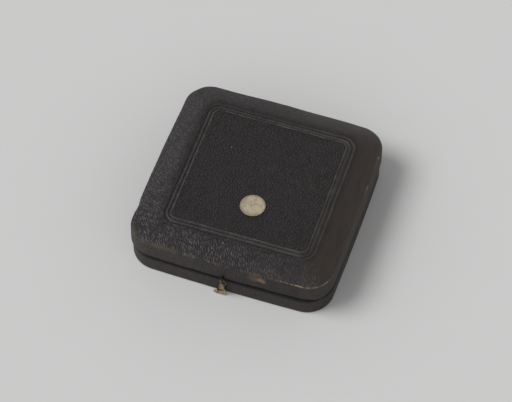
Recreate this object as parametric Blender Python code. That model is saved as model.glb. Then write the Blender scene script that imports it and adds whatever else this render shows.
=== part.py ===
"""A presentation case for one medal: a leather-covered wooden box with a hinged, bevelled lid.

Metres, +Z up. The case stands on the XY plane with its underside centred on the origin,
the catch towards -Y and the hinge towards +Y. The lid is shut and the catch hangs free.
"""

import math

import bmesh
import bpy
from mathutils import Matrix, Vector

# Outline of the shut case, seen from above
LID_HALF_X = 0.0400
LID_HALF_Y = 0.0395
LID_CORNER = 0.0095
SIDE_BOW = 0.00067
BASE_INSET = 0.0003
BASE_CORNER = 0.0100
INNER_CORNER = 0.0025

# Heights
RIM_HEIGHT = 0.00785
PARTING = 0.0006
ARRIS_HEIGHT = 0.0167
BEVEL_RISE = 0.0034

# Coverings and the room that glue leaves under them
LEATHER = 0.0008
PARED_LEATHER = 0.0006
GLUE = 0.0002
RIM_ROUND = 0.0007
FOOT_ROUND = 0.0012
ARRIS_ROUND = 0.0013

# Tooled panel on the lid: half sizes at its inner line, then the lines round it
PANEL_HALF_X = 0.0269
PANEL_HALF_Y = 0.0268
PANEL_SHIFT_X = 0.0006
PANEL_SHIFT_Y = 0.0002
PANEL_TURN = math.radians(0.44)
PANEL_CORNER = 0.0024
LINE_RELIEF = 0.00030
INNER_FILLET_AT = 0.0003
INNER_GROOVE_AT = 0.0008
OUTER_FILLET_AT = 0.0015
OUTER_GROOVE_AT = 0.0024
BEVEL_FOOT_AT = 0.0033
BEVEL_CROWN = 0.0004
BEVEL_SHARES = (0.3, 0.65)

# Base: sheet, board, frame and collar
SHEET_THICKNESS = 0.0005
SHEET_MARGIN = 0.0036
FOOT_RISE = 0.0002
BOARD_THICKNESS = 0.0012
FRAME_WALL = 0.0034
COLLAR_WALL = 0.0010
COLLAR_RISE = 0.0015
COLLAR_NOSE = 0.00045

# Bed of the medal
WELL_RADIUS = 0.0259
WELL_DEPTH = 0.0046
VELVET = 0.0007
BED_PAD = 0.0013
BED_CROWN = 0.0002
BED_MARGIN = 0.0003

# Lid: frame, bevelled board and padded lining
LID_WALL = 0.0030
LID_BOARD_EDGE_DROP = 0.0022
LINING = 0.0003
CARD = 0.0008
CARD_MARGIN = 0.0003
PAD_EDGE = 0.0012
PAD_CROWN = 0.0014
PAD_DRAW_IN = 0.0006

# Hinge
HINGE_BEHIND_LID = 0.00025
KNUCKLE_RADIUS = 0.0011
HINGE_PIN_RADIUS = 0.00045
PIN_CLEARANCE = 0.00015
HINGE_LENGTH = 0.0440
KNUCKLE_GAP = 0.0003
KNUCKLES = 5
LEAF_THICKNESS = 0.0004
LEAF_LIFT = 0.0002
LEAF_REACH = 0.0035
HINGE_ROOM = 0.00025
NAIL_END_MARGIN = 0.0060
NAIL_RADIUS = 0.0003
NAIL_HEAD_RADIUS = 0.00075
NAIL_HEAD = 0.00022
NAIL_LENGTH = 0.0024
NAIL_ROOM = 0.00015

# Catch: a flat brass hook that swings on a rivet in the base
CATCH_OFFSET_X = -0.0003
CATCH_HEIGHT = 0.0063
CATCH_THICKNESS = 0.0007
CATCH_CHAMFER = 0.00010
EYE_RADIUS = 0.00115
ARM_HALF_WIDTH = 0.00075
SLOT_AT = 0.0039
SLOT_PLAY = 0.00025
HEAD_HALF_WIDTH = 0.00145
TOE_WIDTH = 0.0010
TOE_SWEEP = math.radians(33.0)
TOE_TIP_WIDTH = 0.00045
SHOULDER_SWEEP = math.radians(27.0)
TOE_LIFT = math.radians(18.0)
TOE_BEND_AT = math.radians(14.0)
RIVET_RADIUS = 0.00035
RIVET_ROOM = 0.00015
RIVET_HEAD_RADIUS = 0.0010
RIVET_HEAD = 0.00045
RIVET_LENGTH = 0.0042
WASHER_RADIUS = 0.0014
WASHER_THICKNESS = 0.0004
STACK_GAP = 0.0002
STUD_RADIUS = 0.00045
STUD_HEAD_RADIUS = 0.00085
STUD_HEAD = 0.0004
STUD_LENGTH = 0.0040

# Paper label
LABEL_RADIUS = 0.0049
LABEL_THICKNESS = 0.00012
LABEL_GLUE = 0.00008
LABEL_X = 0.0020
LABEL_Y = -0.0124

# Fineness: points on a side and on a corner of an outline, and steps of round pieces
COVER_SIDE_STEPS = 8
COVER_CORNER_STEPS = 8
BOARD_SIDE_STEPS = 5
BOARD_CORNER_STEPS = 5
ARC_STEPS = 4
PIN_STEPS = 14
NAIL_STEPS = 10
DISC_STEPS = 48
CUT_OVERRUN = 0.0005
MERGE_DISTANCE = 1e-7

# Levels and planes that several pieces share
CASE_HEIGHT = ARRIS_HEIGHT + BEVEL_RISE
LID_BOARD_EDGE = ARRIS_HEIGHT - LID_BOARD_EDGE_DROP
LID_RIM = RIM_HEIGHT + PARTING
PARTING_HEIGHT = RIM_HEIGHT + PARTING / 2
BASE_HALF_X = LID_HALF_X - BASE_INSET
BASE_HALF_Y = LID_HALF_Y - BASE_INSET
BASE_FRONT = -(BASE_HALF_Y + SIDE_BOW)
BOARD_BOTTOM = FOOT_RISE + PARED_LEATHER + GLUE
FRAME_BOTTOM = BOARD_BOTTOM + BOARD_THICKNESS + GLUE
FRAME_TOP = RIM_HEIGHT - PARED_LEATHER - GLUE
FRAME_INSET = LEATHER + GLUE
BASE_TURN_IN = FRAME_INSET + FRAME_WALL - GLUE
LID_TURN_IN = FRAME_INSET + LID_WALL - GLUE
COLLAR_INSET = FRAME_INSET + FRAME_WALL + GLUE
COLLAR_TOP = RIM_HEIGHT + COLLAR_RISE
BED_INSET = COLLAR_INSET + COLLAR_WALL + GLUE
BED_TOP = RIM_HEIGHT - BED_CROWN
WELL_FLOOR = BED_TOP - WELL_DEPTH
LINING_RADIUS = WELL_RADIUS + VELVET
BED_HOLE_RADIUS = LINING_RADIUS + GLUE
BED_BLOCK_TOP = BED_TOP - BED_PAD - GLUE
LID_FRAME_BOTTOM = LID_RIM + PARED_LEATHER + GLUE
LID_FRAME_TOP = LID_BOARD_EDGE - GLUE
LID_LINING_INSET = LEATHER + GLUE + LID_WALL + GLUE
CARD_INSET = LID_LINING_INSET + LINING + CARD_MARGIN
CARD_TOP = LID_BOARD_EDGE - GLUE
NAIL_PITCH = HINGE_LENGTH / 2 - NAIL_END_MARGIN
HINGE_Y = LID_HALF_Y + SIDE_BOW + HINGE_BEHIND_LID
HINGE_Z = PARTING_HEIGHT
CATCH_BACK = BASE_FRONT - STACK_GAP - WASHER_THICKNESS - STACK_GAP
CATCH_FRONT = CATCH_BACK - CATCH_THICKNESS
STUD_HEIGHT = CATCH_HEIGHT + SLOT_AT
LEAF_SIDES = {"base": -1, "lid": 1}


def finish(name, colour, roughness, metallic=0.0):
    """A plain Principled material."""
    material = bpy.data.materials.get(name) or bpy.data.materials.new(name)
    material.use_nodes = True
    shader = material.node_tree.nodes["Principled BSDF"]
    shader.inputs["Base Color"].default_value = (*colour, 1.0)
    shader.inputs["Roughness"].default_value = roughness
    shader.inputs["Metallic"].default_value = metallic
    material.diffuse_color = (*colour, 1.0)
    return material


def leather():
    return finish("black_leather", (0.030, 0.028, 0.026), 0.5)


def underside_paper():
    return finish("underside_paper", (0.022, 0.021, 0.020), 0.8)


def bare_wood():
    return finish("bare_wood", (0.42, 0.28, 0.15), 0.7)


def velvet():
    return finish("plum_velvet", (0.080, 0.012, 0.030), 0.9)


def satin():
    return finish("ivory_satin", (0.62, 0.55, 0.40), 0.45)


def card():
    return finish("grey_card", (0.30, 0.28, 0.24), 0.9)


def brass():
    return finish("aged_brass", (0.42, 0.30, 0.13), 0.4, 1.0)


def dark_brass():
    return finish("blackened_brass", (0.060, 0.048, 0.034), 0.5, 1.0)


def label_paper():
    return finish("label_paper", (0.42, 0.36, 0.27), 0.85)


def add_object(name, bm, material):
    """Turns a bmesh into a named object with outward faces and smooth round stretches."""
    bmesh.ops.remove_doubles(bm, verts=bm.verts, dist=MERGE_DISTANCE)
    bmesh.ops.recalc_face_normals(bm, faces=bm.faces)
    mesh = bpy.data.meshes.new(name)
    bm.to_mesh(mesh)
    bm.free()
    mesh.shade_smooth()
    mesh.set_sharp_from_angle(angle=math.radians(35.0))
    item = bpy.data.objects.new(name, mesh)
    bpy.context.collection.objects.link(item)
    item.data.materials.append(material)
    return item


def combine(target, tool, operation="DIFFERENCE"):
    """Cuts or joins one solid with another, and keeps only the result."""
    step = target.modifiers.new("cut", "BOOLEAN")
    step.operation = operation
    step.object = tool
    step.solver = "EXACT"
    shaped = target.evaluated_get(bpy.context.evaluated_depsgraph_get())
    mesh = bpy.data.meshes.new_from_object(shaped)
    target.modifiers.clear()
    old = target.data
    target.data = mesh
    mesh.name = target.name
    bpy.data.meshes.remove(old)
    bpy.data.objects.remove(tool)
    return target


def carried_by(axis, items):
    """Gives moving pieces one parent empty that stands on their joint's axis."""
    for item in items:
        item.data.transform(Matrix.Translation(-axis.location))
        item.parent = axis


def joint_axis(name, place):
    axis = bpy.data.objects.new(name, None)
    axis.location = place
    bpy.context.collection.objects.link(axis)
    return axis


def rounded_square(half_x, half_y, corner, bow, fineness):
    """Plan points of a square with round corners and bowed sides, from the +X side, anticlockwise."""
    side_steps, corner_steps = fineness
    points = []
    for quarter in range(4):
        turn = math.radians(90.0) * quarter
        along, across = (half_y, half_x) if quarter % 2 == 0 else (half_x, half_y)
        for step in range(side_steps):
            share = 2.0 * step / side_steps - 1.0
            points.append(Vector((across, share * (along - corner))).to_3d())
            points[-1].rotate(Matrix.Rotation(turn, 3, "Z"))
        for step in range(corner_steps):
            angle = math.radians(90.0) * step / corner_steps
            centre = Vector((across - corner, along - corner, 0.0))
            points.append(centre + Vector((corner * math.cos(angle), corner * math.sin(angle), 0.0)))
            points[-1].rotate(Matrix.Rotation(turn, 3, "Z"))
    for point in points:
        share_x = min(abs(point.x) / half_x, 1.0)
        share_y = min(abs(point.y) / half_y, 1.0)
        point.x *= 1.0 + bow / half_x * (1.0 - share_y**2)
        point.y *= 1.0 + bow / half_y * (1.0 - share_x**2)
    return points


def circle(radius, fineness):
    """As many points as a rounded square has, evenly round a circle, from the same side."""
    side_steps, corner_steps = fineness
    count = 4 * (side_steps + corner_steps)
    angles = [math.tau * (step - side_steps / 2) / count for step in range(count)]
    return [Vector((radius * math.cos(angle), radius * math.sin(angle), 0.0)) for angle in angles]


def at_height(points, z):
    return [Vector((point.x, point.y, z)) for point in points]


COVER = (COVER_SIDE_STEPS, COVER_CORNER_STEPS)
BOARD = (BOARD_SIDE_STEPS, BOARD_CORNER_STEPS)


def lid_ring(inset, z, fineness=COVER):
    corner = max(LID_CORNER - inset, INNER_CORNER)
    points = rounded_square(LID_HALF_X - inset, LID_HALF_Y - inset, corner, SIDE_BOW, fineness)
    return at_height(points, z)


def base_ring(inset, z, fineness=COVER):
    corner = max(BASE_CORNER - inset, INNER_CORNER)
    points = rounded_square(BASE_HALF_X - inset, BASE_HALF_Y - inset, corner, SIDE_BOW, fineness)
    return at_height(points, z)


def panel_ring(offset, z):
    """A ring of the tooled panel, which lies a little off centre and a little turned."""
    corner = PANEL_CORNER + max(offset, 0.0)
    points = rounded_square(PANEL_HALF_X + offset, PANEL_HALF_Y + offset, corner, 0.0, COVER)
    place = Matrix.Translation((PANEL_SHIFT_X, PANEL_SHIFT_Y, z)) @ Matrix.Rotation(PANEL_TURN, 4, "Z")
    return [place @ point for point in points]


def rounded_profile(corners):
    """Turns (across, up, radius) corners into points, each corner with a radius as an arc."""
    points = []
    for index, (across, up, radius) in enumerate(corners):
        here = Vector((across, up))
        if radius == 0.0:
            points.append(here)
            continue
        before = Vector(corners[index - 1][:2]) - here
        after = Vector(corners[(index + 1) % len(corners)][:2]) - here
        opening = before.angle(after)
        reach = radius / math.tan(opening / 2)
        start = here + before.normalized() * reach
        end = here + after.normalized() * reach
        inward = (before.normalized() + after.normalized()).normalized()
        centre = here + inward * radius / math.sin(opening / 2)
        sweep = math.pi - opening
        for step in range(ARC_STEPS + 1):
            share = step / ARC_STEPS
            weight_start = math.sin((1.0 - share) * sweep) / math.sin(sweep)
            weight_end = math.sin(share * sweep) / math.sin(sweep)
            points.append(centre + (start - centre) * weight_start + (end - centre) * weight_end)
    return points


def extrude_to(bm, ring, points):
    """Extrudes a ring of vertices and moves the new ring onto the next points."""
    edges = [bm.edges.get((ring[i - 1], ring[i])) for i in range(len(ring))]
    raised = bmesh.ops.extrude_edge_only(bm, edges=edges)["geom"]
    fresh = {tuple(item.co): item for item in raised if isinstance(item, bmesh.types.BMVert)}
    moved = [fresh[tuple(vertex.co)] for vertex in ring]
    for vertex, point in zip(moved, points):
        vertex.co = point
    return moved


def loft(name, rings, material, closed):
    """Extrudes from ring to ring: a closed tube of them, or a solid with flat ends."""
    bm = bmesh.new()
    first = [bm.verts.new(point) for point in rings[0]]
    for index in range(len(first)):
        bm.edges.new((first[index - 1], first[index]))
    ring = first
    for points in rings[1:]:
        ring = extrude_to(bm, ring, points)
    if closed:
        extrude_to(bm, ring, rings[0])
    else:
        bm.faces.new(first)
        bm.faces.new(ring)
    return add_object(name, bm, material)


def swept_ring(name, corners, ring, material, fineness=COVER):
    """A ring-shaped solid: a profile of (inset, height) corners carried round an outline."""
    return loft(name, [ring(inset, z, fineness) for inset, z in rounded_profile(corners)], material, True)


def flat_ring(name, ring, insets, heights, material):
    """A square-edged ring between two insets and two heights."""
    outer, inner = insets
    low, high = heights
    corners = [(outer, low, 0.0), (outer, high, 0.0), (inner, high, 0.0), (inner, low, 0.0)]
    return swept_ring(name, corners, ring, material, BOARD)


def box(name, low, high):
    bm = bmesh.new()
    bmesh.ops.create_cube(bm, size=1.0)
    size = Vector(high) - Vector(low)
    bmesh.ops.scale(bm, verts=bm.verts, vec=size)
    bmesh.ops.translate(bm, verts=bm.verts, vec=(Vector(high) + Vector(low)) / 2)
    return add_object(name, bm, brass())


def turned(name, profile, place, direction, steps, material):
    """A solid of revolution: (radius, height) points from one end of its axis to the other."""
    bm = bmesh.new()
    corners = [bm.verts.new((radius, 0.0, height)) for radius, height in profile]
    edges = [bm.edges.new(pair) for pair in zip(corners, corners[1:])]
    bmesh.ops.spin(
        bm, geom=corners + edges, axis=(0.0, 0.0, 1.0), cent=(0.0, 0.0, 0.0),
        steps=steps, angle=math.tau, use_merge=True,
    )
    turn = Vector((0.0, 0.0, 1.0)).rotation_difference(Vector(direction)).to_matrix().to_4x4()
    bmesh.ops.transform(bm, verts=bm.verts, matrix=Matrix.Translation(place) @ turn)
    return add_object(name, bm, material)


def rod(name, radius, length, place, direction, steps, material):
    """A plain round rod, starting at a place and running in a direction."""
    profile = [(0.0, 0.0), (radius, 0.0), (radius, length), (0.0, length)]
    return turned(name, profile, place, direction, steps, material)


def front_hole(radius, height):
    """A tool for the round holes of the rivet and the stud, from before the hook into the walls."""
    start = catch_point(CATCH_FRONT - CUT_OVERRUN, height)
    length = CUT_OVERRUN + RIVET_LENGTH
    return rod("hole", radius + RIVET_ROOM, length, start, (0.0, 1.0, 0.0), PIN_STEPS, brass())


def headed_pin(name, shank, head, place, direction, steps, material):
    """A pin with a domed head: its seat is at the place, the dome points along the direction."""
    radius, length = shank
    head_radius, head_height = head
    dome = []
    for step in range(ARC_STEPS):
        angle = math.radians(90.0) * step / ARC_STEPS
        dome.append((head_radius * math.cos(angle), head_height * math.sin(angle)))
    profile = [(0.0, -length), (radius, -length), (radius, 0.0), *dome, (0.0, head_height)]
    return turned(name, profile, place, direction, steps, material)


def bevel_slope():
    """Rise of the lid's bevel for each metre inwards, between the arris and the panel's border."""
    run = LID_HALF_X - PANEL_HALF_X - BEVEL_FOOT_AT
    return (CASE_HEIGHT - LINE_RELIEF - ARRIS_HEIGHT) / run


def bevel_foot(depth):
    """Height at which a surface at a depth below the bevel would meet the lid's upright side."""
    return ARRIS_HEIGHT - depth * math.hypot(1.0, bevel_slope())


def flat_start(depth):
    """Inset at which a surface below the bevel reaches the flat under the panel."""
    return (CASE_HEIGHT - depth - bevel_foot(depth)) / bevel_slope()


def bevel_crown(share):
    """How far the bevel bulges, from its foot at share 0 to the panel's border at share 1."""
    return BEVEL_CROWN * 4 * share * (1.0 - share)


def under_bevel(depth, inset):
    """Height of a surface that follows the crowned bevel at a depth below it."""
    return bevel_foot(depth) + bevel_slope() * inset + bevel_crown(inset / flat_start(depth))


def base_cover():
    """Leather round the sides, turned in over the rim and under the board."""
    foot = FOOT_RISE + PARED_LEATHER
    corners = [
        (BASE_TURN_IN, FRAME_TOP + GLUE, 0.0),
        (BASE_TURN_IN, RIM_HEIGHT, 0.0),
        (0.0, RIM_HEIGHT, RIM_ROUND),
        (0.0, FOOT_RISE, FOOT_ROUND),
        (SHEET_MARGIN - GLUE, FOOT_RISE, 0.0),
        (SHEET_MARGIN - GLUE, foot, 0.0),
        (LEATHER, foot, 0.0),
        (LEATHER, FRAME_TOP + GLUE, 0.0),
    ]
    cover = swept_ring("base_cover", corners, base_ring, leather())
    combine(cover, hinge_room("room", "base"))
    return combine(cover, front_hole(RIVET_RADIUS, CATCH_HEIGHT))


def catch_point(y, height):
    return Vector((CATCH_OFFSET_X, y, height))


def base_sheet():
    """Sheet pasted under the box inside the turned-in leather: what the case stands on."""
    inset = SHEET_MARGIN
    rings = [base_ring(inset, z, BOARD) for z in (0.0, SHEET_THICKNESS)]
    return loft("base_bottom_sheet", rings, underside_paper(), False)


def base_board():
    rings = [base_ring(FRAME_INSET, z, BOARD) for z in (BOARD_BOTTOM, BOARD_BOTTOM + BOARD_THICKNESS)]
    return loft("base_board", rings, bare_wood(), False)


def base_frame():
    """Wooden walls of the base, with holes for the hinge nails and the rivet."""
    insets = (FRAME_INSET, FRAME_INSET + FRAME_WALL)
    frame = flat_ring("base_frame", base_ring, insets, (FRAME_BOTTOM, FRAME_TOP), bare_wood())
    for hole in nail_holes("base"):
        combine(frame, hole)
    return combine(frame, front_hole(RIVET_RADIUS, CATCH_HEIGHT))


def base_collar():
    """Thin ring inside the base that stands above the rim and keeps the lid in place."""
    inner = COLLAR_INSET + COLLAR_WALL
    corners = [
        (COLLAR_INSET, FRAME_BOTTOM, 0.0),
        (COLLAR_INSET, COLLAR_TOP, COLLAR_NOSE),
        (inner, COLLAR_TOP, COLLAR_NOSE),
        (inner, FRAME_BOTTOM, 0.0),
    ]
    return swept_ring("base_collar", corners, base_ring, velvet(), BOARD)


def bed_ring(share, inset, z, fineness=COVER):
    """A ring between the bed's outer edge, at share 0, and the well's wall, at share 1."""
    outer = base_ring(BED_INSET + BED_MARGIN + inset, z, fineness)
    inner = circle(WELL_RADIUS, fineness)
    return [Vector((a.x, a.y, z)).lerp(Vector((b.x, b.y, z)), share) for a, b in zip(outer, inner)]


def well_ring(radius, z, fineness=COVER):
    return at_height(circle(radius, fineness), z)


def bed_block():
    """Wooden block that fills the base, bored for the well."""
    outer = [base_ring(BED_INSET, z, BOARD) for z in (FRAME_BOTTOM, BED_BLOCK_TOP)]
    inner = [well_ring(BED_HOLE_RADIUS, z, BOARD) for z in (BED_BLOCK_TOP, FRAME_BOTTOM)]
    return loft("bed_block", outer + inner, bare_wood(), True)


def bed_velvet():
    """Velvet pad on the block: a soft outer edge, a low crown and a rolled lip at the well."""
    bottom = BED_BLOCK_TOP + GLUE
    thickness = BED_TOP - bottom
    edge_shares = ((0.25, 0.0), (0.0, 0.35), (0.12, 0.75), (0.5, 1.0))
    crown_shares = ((0.25, 0.6), (0.5, 1.0), (0.78, 0.7))
    lip_shares = ((0.75, 1.0), (0.28, 0.84), (0.0, 0.45), (0.0, 0.0))
    rings = [bed_ring(0.0, thickness * inward, bottom + thickness * up) for inward, up in edge_shares]
    rings += [bed_ring(share, 0.0, BED_TOP + BED_CROWN * up) for share, up in crown_shares]
    rings += [well_ring(WELL_RADIUS + thickness * out, bottom + thickness * up) for out, up in lip_shares]
    return loft("bed_velvet", rings, velvet(), True)


def well_lining():
    """Velvet strip round the wall of the well, under the rolled lip."""
    heights = (FRAME_BOTTOM, BED_BLOCK_TOP)
    rings = [well_ring(LINING_RADIUS, z) for z in heights]
    rings += [well_ring(WELL_RADIUS, z) for z in reversed(heights)]
    return loft("well_lining", rings, velvet(), True)


def well_pad():
    """Round velvet pad on the floor of the well, where the medal lies."""
    radius = WELL_RADIUS - BED_MARGIN
    thickness = WELL_FLOOR - FRAME_BOTTOM
    edge_shares = ((0.25, 0.0), (0.0, 0.5), (0.25, 0.83), (1.0, 1.0))
    edge = [(radius - thickness * inward, FRAME_BOTTOM + thickness * up) for inward, up in edge_shares]
    profile = [(0.0, FRAME_BOTTOM), *edge, (0.0, WELL_FLOOR)]
    return turned("well_pad", profile, (0.0, 0.0, 0.0), (0.0, 0.0, 1.0), DISC_STEPS, velvet())


def lid_cover():
    """Leather over the lid in one piece: rim, sides, arris, bevel, tooled border and panel."""
    first = flat_start(0.0) * BEVEL_SHARES[0]
    outside = rounded_profile([
        (LID_TURN_IN, LID_FRAME_BOTTOM - GLUE, 0.0),
        (LID_TURN_IN, LID_RIM, 0.0),
        (0.0, LID_RIM, RIM_ROUND),
        (0.0, ARRIS_HEIGHT, ARRIS_ROUND),
        (first, under_bevel(0.0, first), 0.0),
    ])[:-1]
    rings = [lid_ring(inset, z) for inset, z in outside]
    top = CASE_HEIGHT
    rings += bevel_rings(rings[-1], panel_ring(BEVEL_FOOT_AT, top - LINE_RELIEF))
    border_shares = (
        (BEVEL_FOOT_AT, -1.0),
        (OUTER_GROOVE_AT, -1.6),
        (OUTER_FILLET_AT, 0.0),
        (INNER_GROOVE_AT, -0.9),
        (INNER_FILLET_AT, 0.1),
        (0.0, -0.6),
        (-INNER_FILLET_AT, 0.0),
    )
    rings += [panel_ring(offset, top + LINE_RELIEF * share) for offset, share in border_shares]
    inside = [(LEATHER, LID_FRAME_BOTTOM - GLUE), *bevelled(LEATHER)]
    hollow = [lid_ring(inset, z) for inset, z in reversed(inside)]
    cover = lid_skin(rings, hollow)
    combine(cover, hinge_room("room", "lid"))
    return combine(cover, front_hole(STUD_RADIUS, STUD_HEIGHT))


def bevel_rings(lower, upper):
    """Rings of the crowned bevel between the arris and the panel's border."""
    rings = []
    for share in BEVEL_SHARES:
        up = Vector((0.0, 0.0, bevel_crown(share)))
        rings.append([a.lerp(b, share) + up for a, b in zip(lower, upper)])
    return rings


def bevelled(depth):
    """Insets and heights of a surface below the bevel, from the lid's side to the flat."""
    insets = [depth, *[flat_start(depth) * share for share in BEVEL_SHARES]]
    profile = [(inset, under_bevel(depth, inset)) for inset in insets]
    return [*profile, (flat_start(depth), CASE_HEIGHT - depth)]


def lid_skin(outside, hollow):
    """One skin: from its rim up to the panel on the outside, and the same way back inside."""
    bm = bmesh.new()
    rim = [bm.verts.new(point) for point in outside[0]]
    for index in range(len(rim)):
        bm.edges.new((rim[index - 1], rim[index]))
    ring = rim
    for points in outside[1:]:
        ring = extrude_to(bm, ring, points)
    bm.faces.new(ring)
    ring = rim
    for points in reversed(hollow):
        ring = extrude_to(bm, ring, points)
    bm.faces.new(ring)
    return add_object("lid_cover", bm, leather())


def lid_frame():
    """Wooden walls of the lid, with holes for the hinge nails and the stud."""
    insets = (FRAME_INSET, FRAME_INSET + LID_WALL)
    frame = flat_ring("lid_frame", lid_ring, insets, (LID_FRAME_BOTTOM, LID_FRAME_TOP), bare_wood())
    for hole in nail_holes("lid"):
        combine(frame, hole)
    return combine(frame, front_hole(STUD_RADIUS, STUD_HEIGHT))


def lid_board():
    """Bevelled top board on the lid's walls."""
    depth = LEATHER + GLUE
    profile = [(depth, LID_BOARD_EDGE), *bevelled(depth)]
    return loft("lid_top_board", [lid_ring(inset, z, BOARD) for inset, z in profile], bare_wood(), False)


def lid_lining():
    """Satin strip pasted round the inside of the lid's walls."""
    insets = (LID_LINING_INSET, LID_LINING_INSET + LINING)
    bottom = LID_RIM + PARED_LEATHER
    return flat_ring("lid_lining_strip", lid_ring, insets, (bottom, LID_FRAME_TOP), satin())


def pad_ring(share, z, draw_share=0.0):
    """A ring of the lid's cushion: share 1 is its edge, and its sides are drawn in."""
    half_x = (LID_HALF_X - CARD_INSET) * share
    half_y = (LID_HALF_Y - CARD_INSET) * share
    corner = LID_CORNER - CARD_INSET + (half_x - LID_CORNER + CARD_INSET) * (1.0 - share) / 2
    bow = (SIDE_BOW - PAD_DRAW_IN * draw_share) * share
    return at_height(rounded_square(half_x, half_y, corner, bow, COVER), z)


def lid_card():
    """Card under the top board that carries the cushion."""
    rings = [lid_ring(CARD_INSET, z, BOARD) for z in (CARD_TOP - CARD, CARD_TOP)]
    return loft("lid_pad_card", rings, card(), False)


def lid_pad():
    """Satin cushion of the lid: thin at its edge, crowned towards the medal, sides drawn in."""
    top = CARD_TOP - CARD - GLUE
    edge_shares = ((0.985, 0.0, 0.4), (1.0, 0.35, 1.0), (0.99, 0.75, 0.8), (0.965, 1.0, 0.5))
    crown_shares = ((0.90, 0.30), (0.80, 0.56), (0.66, 0.78), (0.48, 0.92), (0.25, 1.0))
    rings = [pad_ring(share, top - PAD_EDGE * down, draw) for share, down, draw in edge_shares]
    bottom = top - PAD_EDGE
    rings += [pad_ring(share, bottom - PAD_CROWN * down) for share, down in crown_shares]
    return loft("lid_pad", rings, satin(), False)


def label():
    """Small round paper label stuck on the panel."""
    foot = Vector((LABEL_X, LABEL_Y, CASE_HEIGHT + LABEL_GLUE))
    up = (0.0, 0.0, 1.0)
    return rod("paper_label", LABEL_RADIUS, LABEL_THICKNESS, foot, up, DISC_STEPS, label_paper())


def knuckle_spans(side):
    """Where the knuckles of one leaf start and end: the base has the odd ones, the lid the others."""
    pitch = HINGE_LENGTH / KNUCKLES
    spans = []
    for index in range(0 if side == "base" else 1, KNUCKLES, 2):
        start = pitch * (index - KNUCKLES / 2)
        spans.append((start + KNUCKLE_GAP / 2, start + pitch - KNUCKLE_GAP / 2))
    return spans


def leaf_heights(side):
    """Lower and upper face of a leaf, which lies on its frame's edge."""
    sign = LEAF_SIDES[side]
    seat = FRAME_TOP + LEAF_LIFT if sign < 0 else LID_FRAME_BOTTOM - LEAF_LIFT
    return sorted((seat, seat - sign * LEAF_THICKNESS))


def hinge_room(name, side):
    """Space cut out of a cover for the knuckles and for the leaf on that side."""
    sign = LEAF_SIDES[side]
    half = HINGE_LENGTH / 2 + HINGE_ROOM
    start = (-half, HINGE_Y, HINGE_Z)
    radius = KNUCKLE_RADIUS + HINGE_ROOM
    barrel = rod(name, radius, 2 * half, start, (1.0, 0.0, 0.0), 2 * PIN_STEPS, brass())
    seat = FRAME_TOP if sign < 0 else LID_FRAME_BOTTOM
    low, high = sorted((seat, seat - sign * (PARED_LEATHER + GLUE + PARTING)))
    inner = HINGE_Y - LEAF_REACH - HINGE_ROOM
    return combine(barrel, box("leaf_room", (-half, inner, low), (half, HINGE_Y, high)), "UNION")


def tab_reach(side):
    """Distance from the pin's axis at which a leaf's tab ends, inside its knuckle's wall."""
    near, far = sorted(abs(z - HINGE_Z) for z in leaf_heights(side))
    bore = HINGE_PIN_RADIUS + PIN_CLEARANCE
    least = math.sqrt(max(bore**2 - near**2, 0.0))
    most = math.sqrt(max(KNUCKLE_RADIUS**2 - far**2, 0.0))
    return (least + most) / 2


def leaf_plate(side):
    """Flat of a leaf: a comb, cut back wherever the other leaf has a knuckle."""
    inner = HINGE_Y - LEAF_REACH
    notch = HINGE_Y - KNUCKLE_RADIUS - HINGE_ROOM
    tab = HINGE_Y - tab_reach(side)
    half = HINGE_LENGTH / 2
    outline = [(half, inner), (half, notch)]
    for start, end in reversed(knuckle_spans(side)):
        outline += [(end, notch), (end, tab), (start, tab), (start, notch)]
    outline += [(-half, notch), (-half, inner)]
    low, high = leaf_heights(side)
    bm = bmesh.new()
    face = bm.faces.new([bm.verts.new((x, y, low)) for x, y in outline])
    raised = bmesh.ops.extrude_face_region(bm, geom=[face])["geom"]
    moved = [item for item in raised if isinstance(item, bmesh.types.BMVert)]
    bmesh.ops.translate(bm, verts=moved, vec=(0.0, 0.0, high - low))
    return add_object(side + "_hinge_leaf", bm, brass())


def hinge_leaf(side):
    """A leaf holed for its nails, with a bored knuckle on each tab."""
    leaf = leaf_plate(side)
    for hole in nail_holes(side):
        combine(leaf, hole)
    bore = HINGE_PIN_RADIUS + PIN_CLEARANCE
    for start, end in knuckle_spans(side):
        far = end - start
        profile = [(bore, 0.0), (KNUCKLE_RADIUS, 0.0), (KNUCKLE_RADIUS, far), (bore, far), (bore, 0.0)]
        place = (start, HINGE_Y, HINGE_Z)
        knuckle = turned("knuckle", profile, place, (1.0, 0.0, 0.0), 2 * PIN_STEPS, brass())
        combine(leaf, knuckle, "UNION")
    return leaf


def nail_places(side):
    """Points on a leaf's open face where its nails go in."""
    faces = leaf_heights(side)
    z = faces[1] if side == "base" else faces[0]
    y = HINGE_Y - (LEAF_REACH + KNUCKLE_RADIUS + HINGE_ROOM) / 2
    return [Vector((NAIL_PITCH * step, y, z)) for step in (-1, 0, 1)]


def nail_holes(side):
    sign = LEAF_SIDES[side]
    radius = NAIL_RADIUS + NAIL_ROOM
    length = CUT_OVERRUN + NAIL_LENGTH + NAIL_ROOM
    holes = []
    for place in nail_places(side):
        start = place - Vector((0.0, 0.0, sign * CUT_OVERRUN))
        holes.append(rod("hole", radius, length, start, (0.0, 0.0, sign), NAIL_STEPS, brass()))
    return holes


def hinge_nails(side):
    """Three small nails that hold a leaf to its frame."""
    sign = LEAF_SIDES[side]
    nails = []
    for number, place in enumerate(nail_places(side), 1):
        seat = place - Vector((0.0, 0.0, sign * NAIL_ROOM))
        nails.append(headed_pin(
            f"{side}_hinge_nail_{number}", (NAIL_RADIUS, NAIL_LENGTH), (NAIL_HEAD_RADIUS, NAIL_HEAD),
            seat, (0.0, 0.0, -sign), NAIL_STEPS, brass(),
        ))
    return nails


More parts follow.
